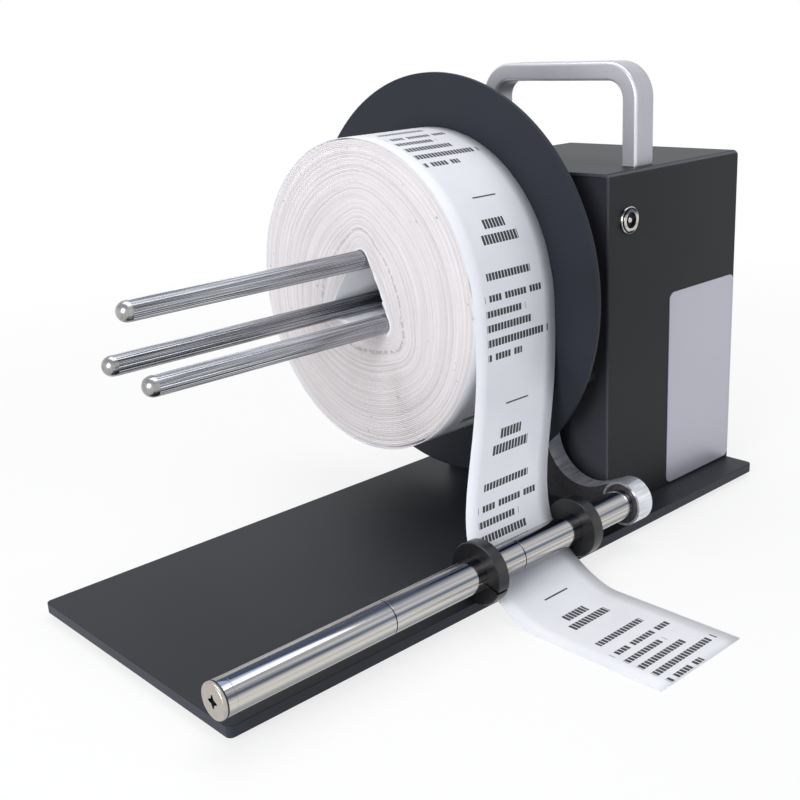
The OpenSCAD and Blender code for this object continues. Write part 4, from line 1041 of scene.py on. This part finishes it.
# %% Path of the winding
ROLL_R = 61.5
LAST_TURN_R = ROLL_R - 0.9
ROLL_X = (-4.5, 39.0)
ROLL_MID = sum(ROLL_X) / 2
ROD_PITCH = 15.2
ROD_PHASE = 95.0
CORE_R = ROD_R + 0.2
TURNS = 64
STEPS = 96
SIDE_ROOM = 0.3


def core_radius(degrees):
    a = math.radians(abs((degrees - ROD_PHASE + 60) % 120 - 60))
    corner = math.atan2(CORE_R * math.sin(math.radians(60)), ROD_PITCH + CORE_R * 0.5)
    if a < corner:
        return ROD_PITCH * math.cos(a) + math.sqrt(CORE_R ** 2 - (ROD_PITCH * math.sin(a)) ** 2)
    return (ROD_PITCH / 2 + CORE_R) / math.cos(math.radians(60) - a)


def spiral_point(i):
    degrees = 180 + i * 360 / STEPS
    core = core_radius(degrees)
    r = core + (LAST_TURN_R - core) * i / (TURNS * STEPS)
    turn = math.radians(degrees)
    return (r * math.cos(turn) * MM, r * math.sin(turn) * MM, 0, 1)


path = bpy.data.curves.new("roll_path", "CURVE")
path.dimensions = "2D"
path.fill_mode = "NONE"
path.extrude = ((ROLL_X[1] - ROLL_X[0]) / 2 - SIDE_ROOM) * MM
spline = path.splines.new("POLY")
spline.points.add(TURNS * STEPS)
for i, point in enumerate(spline.points):
    point.co = spiral_point(i)
print("points on the path:", len(spline.points))

# %% Wound roll
TURN_T = 0.64


def sideways(r):
    return (0.08 * math.sin(2.3 * r) + 0.06 * math.sin(5.7 * r + 1)) * MM


holder = bpy.data.objects.new("roll_path", path)
mesh = bpy.data.meshes.new_from_object(holder)
bpy.data.objects.remove(holder)
stand_up = Matrix.Rotation(math.pi / 2, 4, "Z") @ Matrix.Rotation(math.pi / 2, 4, "X")
mesh.transform(Matrix.Translation(Vector((ROLL_MID, *SPINDLE)) * MM) @ stand_up)
bm = bmesh.new()
bm.from_mesh(mesh)
bpy.data.meshes.remove(mesh)
wound = bm.verts.layers.float.new("wound")
for v in bm.verts:
    y, z = v.co.y / MM - SPINDLE[0], v.co.z / MM - SPINDLE[1]
    r, core = math.hypot(y, z), core_radius(math.degrees(math.atan2(z, y)))
    v.co.x += sideways(r)
    v[wound] = (r - core) / (LAST_TURN_R - core)
# The first one and a half turns take the whiter ribbon, painted light against the shade in the core.
for face in bm.faces:
    face.material_index = int(max(v[wound] for v in face.verts) < 1.5 / TURNS)
roll = add_piece("label_roll_turns", bm, [roll_edge, inner_turns_painted_light], sharp=80, turn_out=False)
wall = roll.modifiers.new("ribbon", "SOLIDIFY")
wall.thickness = TURN_T * MM
wall.offset = 0
stand_for(roll, "label_roll")

# %% [markdown]
# Ribbon strips
# The outer turn, the hanging web and the tail on the table are strips that carry the print. A strip
# starts as one edge across the ribbon and is extruded from station to station. Two number layers on
# its vertices, across and along, ride through the later cuts and become its UV map.

# %% Strip helper
WIDTH = 43.0
RIBBON_T = 0.3
CUTS_ACROSS = 6
REPEATS_A_TURN = 5
PRINT_REPEAT = 2 * math.pi * ROLL_R / REPEATS_A_TURN
PRINT_SHIFT = 0.38


def strip(stations, start):
    bm = bmesh.new()
    across = bm.verts.layers.float.new("across")
    along = bm.verts.layers.float.new("along")
    x, y, z = stations[0]
    ends = []
    for side in (0.0, 1.0):
        v = bm.verts.new(Vector((x + (side - 0.5) * WIDTH, y, z)) * MM)
        v[across] = side
        v[along] = start
        ends.append(v)
    edges = [bm.edges.new(ends)]
    rungs = list(edges)
    travelled = start
    for last, following in zip(stations, stations[1:]):
        step = Vector(following) - Vector(last)
        travelled += step.length
        edges = draw_out(bm, edges, step * MM)
        for v in edges[0].verts:
            v[along] = travelled
        rungs += edges
    bmesh.ops.subdivide_edges(bm, edges=rungs, cuts=CUTS_ACROSS)
    chart = bm.loops.layers.uv.new("UVMap")
    for face in bm.faces:
        for loop in face.loops:
            loop[chart].uv = (loop.vert[across], loop.vert[along] / PRINT_REPEAT + 1 - PRINT_SHIFT)
    return bm, travelled


def ribbon_piece(name, bm, offset):
    piece = add_piece(name, bm, [printed_ribbon, plain_ribbon], turn_out=False)
    wall = piece.modifiers.new("thickness", "SOLIDIFY")
    wall.thickness = RIBBON_T * MM
    wall.offset = offset
    wall.material_offset = 1
    wall.material_offset_rim = 1
    return piece


# %% Outer turn of the roll
SEAM = 0.0006
ROUND_STEPS = 120
turn_stations = []
for i in range(ROUND_STEPS + 1):
    angle = math.pi - 2 * math.pi * (1 - SEAM) * i / ROUND_STEPS
    y, z = SPINDLE[0] + ROLL_R * math.cos(angle), SPINDLE[1] + ROLL_R * math.sin(angle)
    turn_stations.append((ROLL_MID, y, z))
bm, turn_length = strip(turn_stations[::-1], 0)
wrap = ribbon_piece("label_roll_wrap", bm, offset=-1)
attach(wrap, "spindle")
print("outer turn, mm:", round(turn_length, 1))

# %% [markdown]
# Web and tail
# The web leaves the roll at the front, drifts sideways towards the middle of the guide bar, and
# passes behind and under the bar. The tail leaves the bar and lies down on the table. Both follow
# the routes of their solids.

# %% Helpers for the routes
BAR_ROOM = 0.15
ON, OFF = -28, -55


def cubic(a, b, c, d, t):
    return [(1 - t) ** 3 * p + 3 * (1 - t) ** 2 * t * q + 3 * (1 - t) * t * t * r + t ** 3 * s
            for p, q, r, s in zip(a, b, c, d)]


def around_bar(degrees):
    turn = math.radians(degrees)
    radius = SLEEVE_R + RIBBON_T + BAR_ROOM
    return (BAR[0] + radius * math.cos(turn), BAR[1] + radius * math.sin(turn))


def past_bar(degrees, reach):
    turn = math.radians(degrees)
    y, z = around_bar(degrees)
    return (y + math.sin(turn) * reach, z - math.cos(turn) * reach)


print("the ribbon meets the bar at", [round(c, 2) for c in around_bar(ON)])

# %% Web
DRIFT = 27
DRIFT_FROM, DRIFT_OVER = 0.06, 0.91
TUCK = 16
TUCK_DEPTH = 0.4
WEB_LIFT = 0.45
FALL_PULL, BAR_PULL = 45, 22
web_top = (SPINDLE[0] - ROLL_R - WEB_LIFT, SPINDLE[1])
fall = (web_top, (web_top[0], web_top[1] - FALL_PULL), past_bar(ON, -BAR_PULL), around_bar(ON))
web_stations = []
for i in range(8):
    angle = math.radians(180 - TUCK + TUCK * i / 8)
    r = ROLL_R - TUCK_DEPTH + (TUCK_DEPTH + WEB_LIFT) * i / 8
    web_stations.append((ROLL_MID, SPINDLE[0] + r * math.cos(angle), SPINDLE[1] + r * math.sin(angle)))
for i in range(60):
    t = i / 60
    drift = max(0, min(1, (t - DRIFT_FROM) / DRIFT_OVER))
    web_stations.append((ROLL_MID - DRIFT * drift * drift * (3 - 2 * drift), *cubic(*fall, t)))
for i in range(9):
    web_stations.append((ROLL_MID - DRIFT, *around_bar(ON + (OFF - ON) * i / 8)))
web_start = turn_length - math.radians(TUCK) * ROLL_R
bm, web_end = strip(web_stations, web_start)
web = ribbon_piece("label_web_ribbon", bm, offset=0)
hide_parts("label_web")
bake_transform(web)
print("web, mm:", round(web_end - web_start, 1))

# %% Tail
PLATE_FRONT = -57.5
LANDS_AHEAD = 24
LIES_AT = 0.2
TAIL_PULL = 9
TAIL_FLAT = 49
touch = (PLATE_FRONT - LANDS_AHEAD, LIES_AT)
landing = (around_bar(OFF), past_bar(OFF, TAIL_PULL), (touch[0] + TAIL_PULL, touch[1]), touch)
tail_stations = [(ROLL_MID - DRIFT, *cubic(*landing, i / 24)) for i in range(25)]
tail_stations += [(ROLL_MID - DRIFT, touch[0] - TAIL_FLAT * i / 12, touch[1]) for i in range(1, 13)]
bm, tail_end = strip(tail_stations, web_end)
tail = ribbon_piece("label_tail_ribbon", bm, offset=0)
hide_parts("label_tail")
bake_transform(tail)
print("tail, mm:", round(tail_end - web_end, 1))
